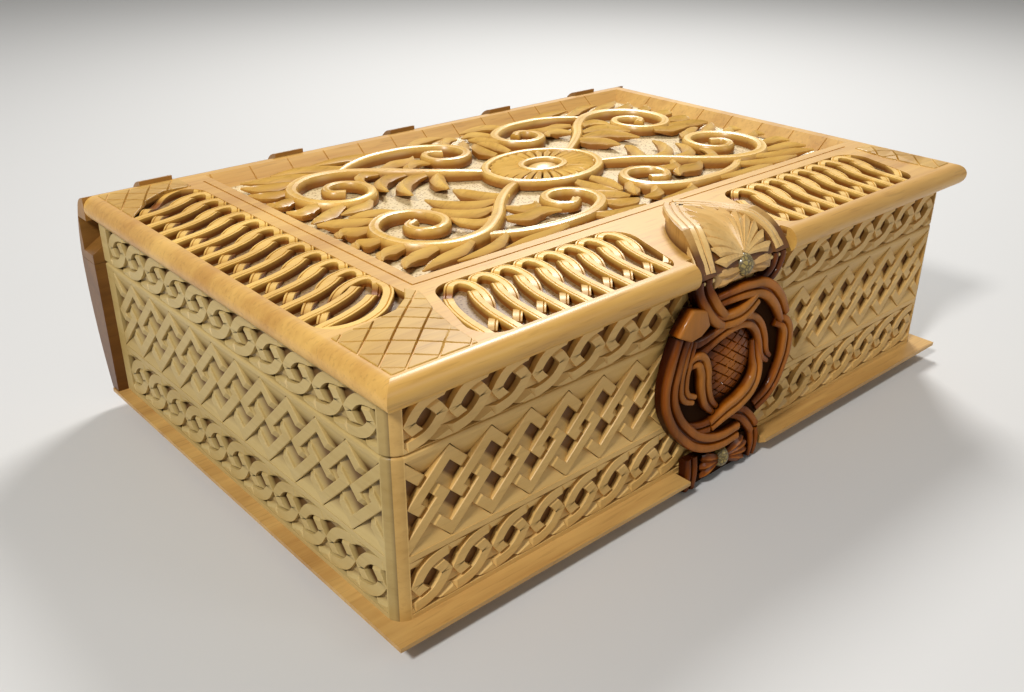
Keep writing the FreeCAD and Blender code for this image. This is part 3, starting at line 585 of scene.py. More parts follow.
def soften_edges(piece, width, angle=40, segments=2):
    make_active(piece)
    bevel = piece.modifiers.new("softened", "BEVEL")
    bevel.width = width * mm
    bevel.segments = segments
    bevel.limit_method = "ANGLE"
    bevel.angle_limit = math.radians(angle)
    bpy.ops.object.modifier_apply(modifier=bevel.name)
    bpy.ops.object.shade_smooth_by_angle(angle=math.radians(35))


pitch = 289.4 / 18
link_depth = 3.0
half_tall = 16.1
ribbon_width = 3.7
diamond_outline = [(pitch, 0), (0, half_tall), (-pitch, 0), (0, -half_tall)]
diamond = ribbon_link("diamond_link", diamond_outline, range(4), 1)
slash = math.radians(45)
for side in (1, -1):
    start, stop = sorted((0, -side * ribbon_width))
    dive_under(diamond, side, slash, start, stop, run=2.4, drop=1.5)
soften_edges(diamond, 0.3)
bpy.ops.object.shade_flat()

oval_points = []
for x, y in ((-1, 0), (-0.79, 0.30), (-0.575, 0.47), (-0.3, 0.565), (0, 0.597)):
    oval_points.append((x * pitch, y * pitch))
right_half = [(-x, y) for x, y in reversed(oval_points[:-1])]
lower_half = [(x, -y) for x, y in reversed(oval_points[1:-1] + [oval_points[-1]] + right_half[:-1])]
oval_outline = oval_points + right_half + lower_half
oval = ribbon_link("oval_link", oval_outline, (0, 8), 3)
lean = math.radians(18)
leaning_edge = (0.485 * math.cos(lean) - 0.425 * math.sin(lean)) * pitch
for side in (1, -1):
    start, stop = sorted((side * leaning_edge, side * (leaning_edge - ribbon_width)))
    dive_under(oval, side, lean, start, stop, run=1.6, drop=1.6)
soften_edges(oval, 0.25)
bpy.ops.object.shade_flat()
print("faces of a diamond:", len(diamond.data.polygons), "of an oval:", len(oval.data.polygons))


# %% [markdown]
# Between two peaks of the middle band the wood slopes from the border down to the ground, as a small
# triangle. It is drawn as a flat triangle, extruded, and its free corner is pushed down.

# %% The sloping triangle
top_only = -1 * mm
triangle = drawn_face("sloping_triangle", [(-pitch / 2, 16.6), (0, 7.9), (pitch / 2, 16.6)], range(3), 1)
thicken(triangle, 3.2)
push_down(triangle, lambda place: place.y < 10 * mm and place.z > top_only, 2.5)
print("corners of the triangle:", len(triangle.data.vertices))

# %% [markdown]
# The bottom of each hole in the middle band is cut as a ramp: deep beside the upper side of the hole, and
# rising to the next ribbon at its lower left. That makes the row of small dark squares which the real band
# shows. The holes of the ovals get one plain ramp each, deep at the top.

# %% Ramps in the holes
diagonal = math.sqrt(0.5)


def sloped(name, corners, thick, far_side, deep, shallow):
    ramp = drawn_face(name, corners, range(4), 1)
    thicken(ramp, thick)
    push_down(ramp, lambda place: far_side(place) and place.z > top_only, deep)
    push_down(ramp, lambda place: not far_side(place) and place.z > top_only, shallow)
    return ramp


def hole_ramp(start, run, low_side, high_side):
    stop = start + run
    corners = []
    for along, across in ((start, low_side), (stop, low_side), (stop, high_side), (start, high_side)):
        corners.append(((along - across) * diagonal, (along + across) * diagonal))
    limit = (start + run / 2) * mm
    return sloped("hole_ramp", corners, 3.1, lambda place: (place.x + place.y) * diagonal > limit, 2.5, 0.8)


ramps = joined([hole_ramp(-0.3, 5.0, -0.2, 7.9), hole_ramp(-8.0, 5.0, -7.9, 0.2),
                hole_ramp(3.5, 2.6, -7.8, -3.6)], "hole_ramps")
oval_ramp = sloped("oval_ramp", [(-5.0, -5.4), (4.4, -5.4), (5.0, 5.4), (-4.4, 5.4)], 3.2,
                   lambda place: place.y > 0, 2.7, 1.3)
print("faces of the ramps of one link:", len(ramps.data.polygons), "and", len(oval_ramp.data.polygons))


# %% [markdown]
# A band is laid by copying the models along the wall at an even step and cutting the row off at both ends.
# The front shows eighteen steps, the two short sides eleven.


# %% Lay the bands
def cut_end(piece, place, outwards):
    edit_all(piece)
    bpy.ops.mesh.bisect(plane_co=(place * mm, 0, 0), plane_no=(outwards, 0, 0), use_fill=True,
                        clear_outer=True)
    bpy.ops.object.mode_set(mode="OBJECT")


def lay_band(name, model, row, height, stretch_up=1):
    left, right, links = row
    step = (right - left) / links
    pieces = []
    for index in range(links + 1):
        place = Matrix.Translation(((left + index * step) * mm, height * mm, -band_sunk * mm))
        size = Matrix.Diagonal((step / pitch, stretch_up, 1, 1))
        pieces.append(copy_of(model, name, place @ size))
    band = joined(pieces, name)
    cut_end(band, left, -1)
    cut_end(band, right, 1)
    return band


def lay_triangles(name, row):
    left, right, links = row
    step = (right - left) / links
    pieces = []
    for index in range(links):
        for turn in (0, math.pi):
            middle = left + (index + 0.5) * step
            place = Matrix.Translation((middle * mm, middle_height * mm, -triangles_sunk * mm))
            size = Matrix.Diagonal((step / pitch, 1, 1, 1)) @ Matrix.Rotation(turn, 4, "Z")
            pieces.append(copy_of(triangle, name, place @ size))
    return joined(pieces, name)


middle_height, lower_height, lid_height = 48.0, 19.5, 75.75
lid_squash = 0.9
band_sunk, triangles_sunk = 0.1, 0.15
walls = {
    "front": (pale_along_x, (-144.7, 144.7, 18)),
    "tail": (pale_along_y, (-92.5, 93.7, 11)),
    "head": (pale_along_y, (-93.7, 92.5, 11)),
}
bands = []
for wall, (material, row) in walls.items():
    middle_band = lay_band(wall + "_diamond_band", diamond, row, middle_height)
    slopes = joined([lay_triangles(wall + "_band_slopes", row), lay_band("ramps", ramps, row, middle_height),
                     lay_band("lower_ramps", oval_ramp, row, lower_height)], wall + "_band_slopes")
    lower_band = lay_band(wall + "_lower_oval_band", oval, row, lower_height)
    lid_band = lay_band(wall + "_lid_oval_band", oval, row, lid_height, lid_squash)
    lid_ramps = lay_band(wall + "_lid_ramps", oval_ramp, row, lid_height, lid_squash)
    for band, rides in ((middle_band, "body"), (slopes, "body"), (lower_band, "body"), (lid_band, "lid"),
                        (lid_ramps, "lid")):
        finished(band, material, rides, wall)
        bands.append(band)
for model in (diamond, oval, triangle, ramps, oval_ramp):
    bpy.data.objects.remove(model)
print("bands laid:", len(bands), "faces:", sum(len(band.data.polygons) for band in bands))

# %% [markdown]
# ## Strands
# The loops on the cover, the scrolls and the straps of the clasp are all strands: a cross section that runs
# along a drawn path. The path is a curve whose points also say how high the strand stands and how wide it
# is. The cross section is a small closed outline with its top at height zero. Then the curve becomes a
# mesh.


# %% A strand along a path
def section(name, corners):
    curve = bpy.data.curves.new(name, "CURVE")
    curve.dimensions = "2D"
    spline = curve.splines.new("POLY")
    spline.points.add(len(corners) - 1)
    for knot, (x, y) in zip(spline.points, corners):
        knot.co = (x * mm, y * mm, 0, 1)
    spline.use_cyclic_u = True
    return put_in_scene(name, curve)


def strand(name, path, shape, closed=False, steps=4):
    curve = bpy.data.curves.new(name, "CURVE")
    curve.dimensions = "3D"
    curve.twist_mode = "Z_UP"
    curve.resolution_u = steps
    curve.bevel_mode = "OBJECT"
    curve.bevel_object = shape
    curve.use_fill_caps = not closed
    spline = curve.splines.new("BEZIER")
    spline.bezier_points.add(len(path) - 1)
    for knot, (x, y, height, width) in zip(spline.bezier_points, path):
        knot.co = (x * mm, y * mm, height * mm)
        knot.radius = width
        knot.handle_left_type = "AUTO"
        knot.handle_right_type = "AUTO"
    spline.use_cyclic_u = closed
    piece = mesh_of(name, curve)
    normals_out()
    bpy.ops.object.shade_smooth_by_angle(angle=math.radians(42))
    return piece


def straight_path(root, tip, profile, ground, width=1):
    path = []
    for share, lift, part in profile:
        x, y = [start + (end - start) * share for start, end in zip(root, tip)]
        path.append((x, y, ground(y) + lift, width * part))
    return path


loop_ribbon = section("loop_ribbon", [
    (-1.75, -3.2), (-1.75, -0.15), (-1.6, 0), (-1.05, 0), (-0.8, -0.55), (-0.5, 0), (1.6, 0), (1.75, -0.15),
    (1.75, -3.2)])
ridge_leaf = section("ridge_leaf", [
    (-2.6, -4.0), (-2.5, -1.9), (-1.3, -1.0), (0, 0), (0.5, -0.8), (2.5, -1.9), (2.6, -4.0)])
round_stem = section("round_stem", [
    (-2.4, -4.8), (-2.3, -1.6), (-1.4, -0.3), (-0.5, -0.5), (0.4, 0), (1.6, -0.3), (2.3, -1.5), (2.4, -4.8)])
print("sections drawn")

# %% [markdown]
# ## Loops on the cover
# Three sunk fields of the cover hold a row of leaning loops, like a pulled-out spring. Each loop is one
# ribbon. It starts with its foot at the outer border, goes up under the arch of the loop before, makes its
# own arch along the inner border, comes down under the next ribbon and ends beside its own foot. So one
# ribbon, copied along the row, makes the row. A step of the path says how far along the row it is, which
# share of the field's width it has reached, how high it stands and how wide it is.


# %% The rows of loops
cover_top = 94.5
ribbon_top = cover_top - 0.15
fore_edge_border, tail_border = -99.4, -148
loop_rise = [(0.1, -0.03, -0.3, 1.0), (-0.4, 0.10, 0, 0.95), (-0.6, 0.25, 0, 0.92), (-0.3, 0.42, 0, 0.9),
             (1.2, 0.64, 0, 0.88), (2.9, 0.76, -0.1, 0.88), (4.2, 0.83, -1.9, 0.85), (6.2, 0.90, -1.9, 0.85),
             (8.0, 0.955, -0.1, 0.88), (10.3, 0.99, 0, 0.9), (12.8, 0.985, 0, 0.9), (14.7, 0.92, 0, 0.9),
             (15.3, 0.80, 0, 0.88), (14.7, 0.66, 0, 0.88)]
loop_end = [(13.3, 0.53, -0.5, 0.88), (11.4, 0.42, -1.9, 0.85), (9.2, 0.33, -1.9, 0.85),
            (6.9, 0.24, -0.6, 0.88), (4.7, 0.17, -0.4, 0.88), (3.0, 0.11, -1.2, 0.8)]
wide_end = [(13.0, 0.50, 0, 0.9), (9.8, 0.34, 0, 0.9), (6.3, 0.21, 0, 0.9), (3.0, 0.13, -0.6, 0.85)]


def loop_path(steps, first, reach, lean):
    return [(first + x + lean * v, reach * v, height, width) for x, v, height, width in steps]


def loop_row(name, count, first, step, reach, lean, last_steps):
    model = strand(name, loop_path(loop_rise + loop_end, first, reach, lean), loop_ribbon)
    row = [copy_of(model, name, Matrix.Translation((index * step * mm, 0, 0))) for index in range(count - 1)]
    bpy.data.objects.remove(model)
    last = loop_path(last_steps, first + (count - 1) * step, reach, lean)
    row.append(strand(name, last, loop_ribbon))
    return joined(row, name)


left_loops = loop_row("left_cover_loops", 9, -112.4, 9.7, 37.5, 4.5, loop_rise + wide_end)
right_loops = loop_row("right_cover_loops", 9, 32.0, 10.2, 37.5, 6, loop_rise + wide_end)
for row in (left_loops, right_loops):
    moved(row, 0, fore_edge_border, ribbon_top)
tail_loops = loop_row("tail_cover_loops", 12, -53.8, 10.6, 34.0, 9, loop_rise + loop_end)
first_loop = strand("tail_first_loop", loop_path(loop_rise + loop_end, -62.6, 34.0, 9), loop_ribbon)
first_ribbon = strand("tail_first_ribbon", [
    (-64, -1, 0, 1), (-67.4, 8, 0, 1), (-65.6, 18, 0, 1), (-59, 27, 0, 1), (-50, 33.5, 0, 1), (-44, 34, 0, 1),
], loop_ribbon)
tail_loops = joined([tail_loops, first_loop, first_ribbon], "tail_cover_loops")
tail_loops.data.transform(Matrix(((0, 1, 0, 0), (1, 0, 0, 0), (0, 0, 1, 0), (0, 0, 0, 1))))
moved(tail_loops, tail_border, 0, ribbon_top)
edit_all(tail_loops)
bpy.ops.mesh.flip_normals()
bpy.ops.object.mode_set(mode="OBJECT")
for row in (left_loops, right_loops, tail_loops):
    finished(row, loop_wood, "lid")
print("faces of the loop rows:", [len(row.data.polygons) for row in (left_loops, right_loops, tail_loops)])

# %% [markdown]
# ## Corner pads
# The corners of the cover that the loops leave free are quilted: a low pad with straight cuts that cross.
# The pad is a filled outline, extruded. Each cut is three parallel slices, of which the middle one is
# pushed down, which leaves a clean V groove.


# %% Quilted pads
def grooves(piece, angle, places, half_width, deep):
    across = Vector((-math.sin(math.radians(angle)), math.cos(math.radians(angle)), 0))
    make_active(piece)
    bpy.ops.object.mode_set(mode="EDIT")
    for place in places:
        for offset in (-half_width, 0, half_width):
            bpy.ops.mesh.select_mode(type="FACE")
            bpy.ops.mesh.select_all(action="SELECT")
            bpy.ops.mesh.bisect(plane_co=across * (place + offset) * mm, plane_no=across)
        pick(piece, "VERT", lambda spot: abs(spot.dot(across) - place * mm) < 0.01 * mm
             and spot.z > -0.5 * mm)
        bpy.ops.transform.translate(value=(0, 0, -deep * mm))
    bpy.ops.object.mode_set(mode="OBJECT")


def swell(piece, height):
    low = [min(vertex.co[axis] for vertex in piece.data.vertices) for axis in (0, 1)]
    high = [max(vertex.co[axis] for vertex in piece.data.vertices) for axis in (0, 1)]
    for vertex in piece.data.vertices:
        if vertex.co.z < -0.6 * mm:
            continue
        shares = [(vertex.co[axis] - low[axis]) / (high[axis] - low[axis]) for axis in (0, 1)]
        vertex.co.z += height * mm * math.sin(math.pi * shares[0]) * math.sin(math.pi * shares[1])


cut_step = 7.5
pad_thick, pad_lift = 0.9, 0.3


def pad(name, outline, cuts):
    piece = drawn_face(name, outline, range(len(outline)), 1)
    thicken(piece, pad_thick)
    soften_edges(piece, 0.35)
    for angle, first, count in cuts:
        places = [first + cut_step * index for index in range(count)]
        grooves(piece, angle, places, half_width=0.4, deep=0.6)
    bpy.ops.object.shade_flat()
    swell(piece, height=1.1)
    moved(piece, 0, 0, cover_top + pad_lift)
    finished(piece, shaded_pad_wood, "lid")
    return piece


near_pad = pad("near_corner_pad", [
    (-148.8, -100.8), (-119, -100.8), (-118.2, -88), (-115.5, -76), (-111.2, -66), (-109.8, -60.8),
    (-112, -56), (-117, -63), (-124.5, -69), (-134, -71.3), (-148.8, -71.3)],
    ((42, 6.5, 6), (-42, -170.5, 7)))
far_pad = pad("right_corner_pad", [
    (137, -100), (149, -100), (149, -60), (139, -60), (135.5, -78)], ((42, -168, 5), (-42, 34, 4)))
spine_pad = pad("spine_corner_pad", [
    (-148.8, 64), (-144.5, 69), (-138, 76.5), (-128, 83.2), (-115, 85.5), (-115, 97.5), (-148.8, 97.5)],
    ((60, 143.5, 5), (-50, -71, 6)))
print("pads cut:", near_pad.name, far_pad.name, spine_pad.name)

# %% [markdown]
# ## Relief in the tray of the cover
# The sunk tray holds a symmetrical relief of scrolls round a fluted oval rosette. A quarter of it is carved
# from strands: stems that coil into volutes and leaves that swell and thin out. Mirrored twice it fills the
# tray.

# %% One quarter of the relief
stems = [
    [(22, 8.5, -1.2, 0.8), (34, 16, -0.2, 0.98), (46, 25.5, 0, 1.1), (60, 39, 0, 1.25), (78, 48.5, 0, 1.35),
     (95, 44, 0, 1.3), (102.5, 29, 0, 1.2), (96.5, 14.5, 0, 1.1), (83, 11.5, 0, 1.0), (74.5, 20, 0, 0.95),
     (76.5, 30.5, 0, 0.9), (85.5, 33, 0, 0.85), (90, 26, 0, 0.8), (85, 22, 0, 1.0)],
    [(74, 47, -1.2, 0.8), (58, 55.5, -0.4, 1.1), (40, 58, 0, 1.2), (22, 54, 0, 1.2), (12, 43.5, 0, 1.1),
     (15.5, 32.5, 0, 1.0), (26, 30.5, 0, 0.95), (32, 38, 0, 0.9), (27.5, 45, 0, 0.8), (21.5, 42, 0, 1.0)],
]
leaves = [
    [(46, 22, -0.8, 0.4), (55, 21, 0, 1.0), (63, 14, 0, 1.0), (66, 4, -1.2, 0.15)],
    [(52, 28, -0.8, 0.4), (61, 28.5, 0, 1.0), (68, 23, 0, 0.9), (70.5, 14, -1.2, 0.15)],
    [(60, 36, -0.8, 0.4), (66.5, 38, 0, 0.8), (71, 33, 0, 0.6), (71.5, 27, -1.2, 0.15)],
    [(38, 22, -0.8, 0.4), (45, 15, 0, 1.1), (49, 7, 0, 0.9), (50, 1.5, -1.2, 0.2)],
    [(56, 40, -0.8, 0.4), (49, 43, 0, 1.0), (40, 42, 0, 0.9), (34, 47, -1.2, 0.15)],
    [(48, 31, -0.8, 0.4), (43, 37, 0, 0.9), (38, 37, 0, 0.7), (35, 33, -1.2, 0.15)],
    [(80, 50, -0.8, 0.4), (90, 54.5, 0, 1.0), (101, 57, 0, 0.8), (110, 61, -1.2, 0.15)],
    [(92, 47, -0.8, 0.4), (101, 48, 0, 1.0), (108, 50, 0, 0.8), (113, 55, -1.2, 0.15)],
    [(99, 39, -0.8, 0.4), (107, 39, 0, 0.9), (112, 40.5, 0, 0.7), (115, 45, -1.2, 0.15)],
    [(103, 29, -0.8, 0.4), (109, 28, 0, 0.9), (113, 27, 0, 0.7), (115, 31, -1.2, 0.15)],
    [(99, 17, -0.8, 0.4), (106, 16, 0, 1.0), (111, 14, 0, 0.8), (114, 18, -1.2, 0.15)],
    [(93, 11, -0.8, 0.4), (102, 7, 0, 1.1), (108, 4, 0, 0.9), (113, 1.5, -1.2, 0.2)],
    [(82, 9.5, -0.8, 0.4), (88, 5, 0, 0.9), (95, 3.5, 0, 0.7), (100, 2.5, -1.2, 0.15)],
    [(66, 52, -0.8, 0.4), (76, 58, 0, 0.9), (86, 61, 0, 0.7), (96, 61.5, -1.2, 0.15)],
    [(44, 60, -0.8, 0.4), (56, 62, 0, 0.8), (67, 62.5, 0, 0.6), (76, 63, -1.2, 0.15)],
    [(28, 57.5, -0.8, 0.4), (24, 62, 0, 0.8), (14, 64, 0, 0.7), (5, 63, -1.2, 0.15)],
    [(15, 49, -0.8, 0.4), (11, 55, 0, 0.9), (6, 57.5, 0, 0.7), (1.5, 56.5, -1.2, 0.2)],
    [(12, 38, -0.8, 0.4), (8, 44, 0, 1.0), (4, 49, 0, 0.8), (1.5, 52, -1.2, 0.2)],
    [(4, 25, -0.8, 0.5), (4.6, 33, 0, 1.0), (3.4, 40, 0, 0.8), (1, 45, -1.2, 0.2)],
]
leaf_fullness = 1.25
relief_middle = (17.15, 18.65, 94.0)
drawn_quarter = (113, 64)
carved_quarter = (116, 66)
quarter = []
for number, path in enumerate(stems):
    quarter.append(strand("relief_stem_" + str(number), path, round_stem))
for number, path in enumerate(leaves):
    fuller = [(x, y, height, width * leaf_fullness) for x, y, height, width in path]
    quarter.append(strand("relief_leaf_" + str(number), fuller, ridge_leaf, steps=3))
quarter_relief = joined(quarter, "relief_quarter")
print("faces of a quarter:", len(quarter_relief.data.polygons))

# %% [markdown]
# The other three quarters are mirrored copies, stretched a little to the size of the tray. A mirrored copy
# shows its faces from the wrong side, so the normals are turned outwards again.

# %% Mirror the quarter
quarters = []
stretch = [carved / drawn for carved, drawn in zip(carved_quarter, drawn_quarter)]
for across, along in ((1, 1), (-1, 1), (1, -1), (-1, -1)):
    size = Matrix.Diagonal((across * stretch[0], along * stretch[1], 1, 1))
    quarters.append(copy_of(quarter_relief, "cover_scrolls", size))
bpy.data.objects.remove(quarter_relief)
cover_scrolls = joined(quarters, "cover_scrolls")
moved(cover_scrolls, *relief_middle)
edit_all(cover_scrolls)
normals_out()
finished(cover_scrolls, relief_wood, "lid")
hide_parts("relief_scrolls")
print("faces of the scrolls:", len(cover_scrolls.data.polygons))

# %% [markdown]
# The rosette in the middle has two oval rings, a row of flutes between them and a low boss. A flute is one
# leaf that is laid again and again round the oval.


# %% The rosette
def oval_ring(name, half_long, half_wide, height, width):
    path = []
    for index in range(12):
        turn = 2 * math.pi * index / 12
        path.append((half_long * math.cos(turn), half_wide * math.sin(turn), height, width))
    return strand(name, path, round_stem, closed=True)


def half_ball(segments, rings, half_sizes):
    bpy.ops.object.select_all(action="DESELECT")
    bpy.ops.mesh.primitive_uv_sphere_add(segments=segments, ring_count=rings, radius=1)
    piece = bpy.context.object
    edit_all(piece)
    bpy.ops.mesh.bisect(plane_co=(0, 0, 0), plane_no=(0, 0, -1), clear_outer=True, use_fill=True)
    bpy.ops.mesh.select_all(action="SELECT")
    bpy.ops.transform.resize(value=[size * mm for size in half_sizes], center_override=(0, 0, 0))
    bpy.ops.object.mode_set(mode="OBJECT")
    return piece


rosette = [oval_ring("rosette_rim", 27.5, 21.5, -0.3, 0.9), oval_ring("rosette_eye", 10.5, 8.0, 0, 0.75)]
flutes = 30
flute_profile = ((0, -0.6, 0.30), (0.5, 0.1, 0.52), (0.85, -0.1, 0.66), (1.0, -1.0, 0.5))
inner_oval, outer_oval = (12.0, 9.4), (25.6, 19.6)
for index in range(flutes):
    turn = 2 * math.pi * index / flutes
    root, tip = [(half_long * math.cos(turn), half_wide * math.sin(turn))
                 for half_long, half_wide in (inner_oval, outer_oval)]
    path = straight_path(root, tip, flute_profile, lambda y: 0)
    rosette.append(strand("rosette_flute", path, ridge_leaf, steps=2))
boss = half_ball(segments=24, rings=12, half_sizes=(9.0, 6.8, 3.4))
bpy.ops.object.shade_smooth_by_angle(angle=math.radians(40))
moved(boss, 0, 0, -4.0)
rosette.append(boss)
cover_rosette = joined(rosette, "cover_rosette")
moved(cover_rosette, *relief_middle)
finished(cover_rosette, relief_wood, "lid")
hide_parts("relief_rosette")
print("faces of the rosette:", len(cover_rosette.data.polygons))

# %% [markdown]
# ## The clasp
# The clasp is one carved shield of interwoven straps around an oval eye. Its straps are broad and have two
# rounded ridges with a groove between them. They are laid as strands in front of the dark back of the
# clasp, higher where a strap passes over another one. The plain construction shapes behind them are hidden.

# %% Straps of the clasp
double_ridge = section("double_ridge", [
    (-4.2, -5.0), (-4.2, -1.3), (-3.7, -0.35), (-2.9, 0), (-1.6, -0.05), (-0.75, -0.45), (-0.25, -1.7),
    (0.25, -1.7), (0.75, -0.45), (1.6, -0.05), (2.9, 0), (3.7, -0.35), (4.2, -1.3), (4.2, -5.0)])
clasp_straps = {
    "left_broad_band": [
        (-30, 67.5, 5.4, 0.95), (-34, 58.5, 6.2, 1), (-35.8, 48, 6.2, 0.95), (-32.6, 38, 6.2, 0.95),
        (-25, 28, 6.4, 0.95), (-15.5, 20.8, 6.6, 0.95), (-5, 17.6, 6.8, 0.92), (6.4, 17.6, 6.6, 0.9)],
    "left_leg_strap": [
        (-21.3, 87.2, 5.4, 0.98), (-21.2, 84, 5.4, 1), (-17.9, 77.2, 6.6, 1.05), (-13.2, 71.7, 7, 0.95),
        (-7.8, 68.1, 6.4, 0.8)],
    "folded_strap": [
        (-13.9, 69.1, 5.6, 0.7), (-5.8, 68.8, 7.4, 0.8), (1.4, 69.8, 7.6, 0.8), (8.5, 72.9, 7, 0.7)],
    "right_leg_strap": [
        (21.3, 87.2, 5.2, 0.98), (21.2, 84, 5.2, 0.98), (19, 79.5, 4.8, 0.85), (13, 76, 4, 0.6)],
    "right_arched_strap": [
        (-12.9, 76.8, 5.2, 0.65), (-4.7, 77.6, 6.4, 0.74), (4.4, 77.2, 6.8, 0.8), (13.5, 75, 7, 0.95),
        (21.7, 68.6, 7, 0.95), (28.3, 59.5, 6.2, 0.85)],
    "right_outer_strand": [
        (23.7, 59, 5.6, 0.6), (29.3, 55.9, 6.8, 0.75), (31.6, 47.8, 6.8, 0.85), (29.8, 37.1, 6.4, 0.85),
        (24.7, 29, 6.2, 0.85), (17.1, 23.9, 5.2, 0.8)],
    "upper_scroll": [
        (-27.1, 60.5, 5, 1.2), (-20, 61.4, 5.6, 1), (-11.9, 64.2, 6.4, 0.75), (-3.7, 65.9, 6.8, 0.7),
        (4.4, 65.2, 6.8, 0.75), (11, 61, 6.6, 0.8), (15.1, 54.4, 6.4, 0.8), (17.6, 47.3, 6.2, 0.75),
        (22.2, 43.2, 5.4, 0.5)],
    "left_curl": [
        (-25, 65.5, 5.4, 0.55), (-28, 58.5, 6.4, 0.6), (-29.3, 51.3, 6.4, 0.6), (-28, 44.9, 6.6, 0.6),
        (-23.4, 42.2, 6.8, 0.5)],
    "inner_left_scroll": [
        (-27.6, 52, 4.8, 0.4), (-26.4, 56.6, 6.2, 0.6), (-22.4, 57.6, 7, 0.78), (-19, 53, 7.2, 0.8),
        (-17.6, 45.8, 7, 0.8), (-14.4, 38.1, 6.4, 0.75), (-8.8, 32.4, 5.4, 0.6)],
    "diagonal_strap": [
        (-11.3, 26.5, 6.4, 0.7), (-3.7, 29.8, 7.2, 0.85), (4.4, 32.2, 7.6, 0.9), (11, 36.6, 7.6, 0.9),
        (13.4, 42.2, 7, 0.8), (12, 48.6, 6.2, 0.6), (11, 55.4, 5.6, 0.5)],
    "low_left_scroll": [(-26.1, 31, 4.4, 0.5), (-19, 27.5, 5.4, 0.65), (-11.3, 26.5, 6, 0.7)],
    "lower_right_strand": [
        (0.3, 27, 4.6, 0.5), (8, 24.4, 5.8, 0.75), (13.3, 19.6, 6.2, 0.8), (17.4, 14.6, 6, 0.75)],
}
straps = []
for name, path in clasp_straps.items():
    straps.append(strand(name, path, double_ridge, steps=6))
clasp_carving = joined(straps, "clasp_straps")
finished(clasp_carving, clasp_wood, "clasp", "front")
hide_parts("clasp_medallion", "clasp_strap")
print("faces of the straps:", len(clasp_carving.data.polygons))

# %% [markdown]
# Between the straps one looks onto the back of the clasp, painted nearly black as painted shadow for the deep
# shade between the straps. It is one flat board with a rounded outline. At the upper left a small slanted
# board sticks out of the straps, with rounded edges: the place for the thumb. Both are filled outlines,
# thickened and lifted to their height on the wall.


# %% Back of the clasp and slanted tab
def board(name, outline, sharp, steps, thick, front):
    piece = drawn_face(name, outline, sharp, steps)
    thicken(piece, thick)
    moved(piece, 0, 0, front)
    return piece


clasp_shield = board("clasp_shield", [
    (-27, 73), (-34, 65), (-38.2, 50), (-35, 36), (-26, 24.5), (-14, 17.5), (4, 15), (15, 17), (26, 25),
    (32.5, 37), (33.5, 50), (28, 63), (20, 73), (15, 78), (-15, 78)], (13, 14), steps=4, thick=1.2, front=3.5)
# Painted shadow: the back of the clasp is nearly black.
finished(clasp_shield, painted_shadow_wood, "clasp", "front")

clasp_slab = board("clasp_slab", [
    (-29.6, 79.4), (-22.0, 77.0), (-19.4, 70.8), (-24.0, 67.8), (-29.0, 67.2), (-36.4, 71.0)],
    range(6), steps=1, thick=5.6, front=7.6)
soften_edges(clasp_slab, 0.9, angle=30, segments=3)
finished(clasp_slab, clasp_wood, "clasp", "front")
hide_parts("clasp_tab")
print("shield size in mm:", [round(value / mm, 1) for value in clasp_shield.dimensions])

# %% [markdown]
# The eye of the clasp is a low oval dome cut with two sets of crossing lines. It is half a ball pressed
# flat, and each line is sliced three times and pushed in along the middle slice.

# %% The eye
clasp_eye = half_ball(segments=48, rings=24, half_sizes=(15.5, 16.0, 4.2))
clasp_eye.name = "clasp_eye"
for angle, places in ((-33, (-11, -7.8, -4.7, -1.6, 1.6, 4.7, 7.8, 11)),
                      (24, (-11.9, -8.5, -5.1, -1.7, 1.7, 5.1, 8.5, 11.9))):
    grooves(clasp_eye, angle, places, half_width=0.34, deep=0.75)
bpy.ops.object.shade_smooth_by_angle(angle=math.radians(16))
moved(clasp_eye, -3.7, 50.0, 2.2)
finished(clasp_eye, clasp_wood, "clasp", "front")
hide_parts("clasp_cabochon")
print("faces of the eye:", len(clasp_eye.data.polygons))

# %% [markdown]
# ## Arch and palmette
# Above the clasp a keel arch bends over the edge of the cover. Two fine grooves run along it, and the
# palmette in it is a fan of ridged petals round a bead. The strands lie on the construction's own arch: one
# short table says how high its back is at each distance from the front.

# %% Arch with two grooves
arch_ridge = section("arch_ridge", [
    (-3.9, -2.7), (-3.9, -0.5), (-3.4, 0), (-1.75, 0), (-1.3, -0.8), (-0.85, 0), (0.85, 0), (1.3, -0.8),
    (1.75, 0), (3.4, 0), (3.9, -0.5), (3.9, -2.7)])
arch_back = [(-105, 88.6), (-104, 90.2), (-102, 93.1), (-100, 95.5), (-96, 98.9), (-92, 101.0), (-88, 101.4),
             (-60, 101.4)]


def back_height(y):
    for (y0, z0), (y1, z1) in zip(arch_back, arch_back[1:]):
        if y <= y1:
            return z0 + (z1 - z0) * (y - y0) / (y1 - y0)
    return arch_back[-1][1]


arch_branch = [(21.1, -104.5), (20.9, -103.2), (20.0, -100.0), (18.2, -96.0), (16.0, -92.0), (13.7, -88.0),
               (11.4, -84.0), (8.9, -80.0), (6.0, -76.0), (3.0, -72.6), (0, -70.2)]
arch_parts = []
for side in (1, -1):
    path = [(side * x, y, back_height(y) + 0.35, 1) for x, y in arch_branch]
    arch_parts.append(strand("arch_branch", path, arch_ridge, steps=4))
arch_carving = joined(arch_parts, "arch_carving")
finished(arch_carving, arch_wood, "lid")
print("faces of the arch:", len(arch_carving.data.polygons))

# %% [markdown]
# The palmette is a fan: each petal starts at the bead and swells towards its tip. The middle petal is the
# longest, the ones at the side are short. They follow the same back line as the arch.

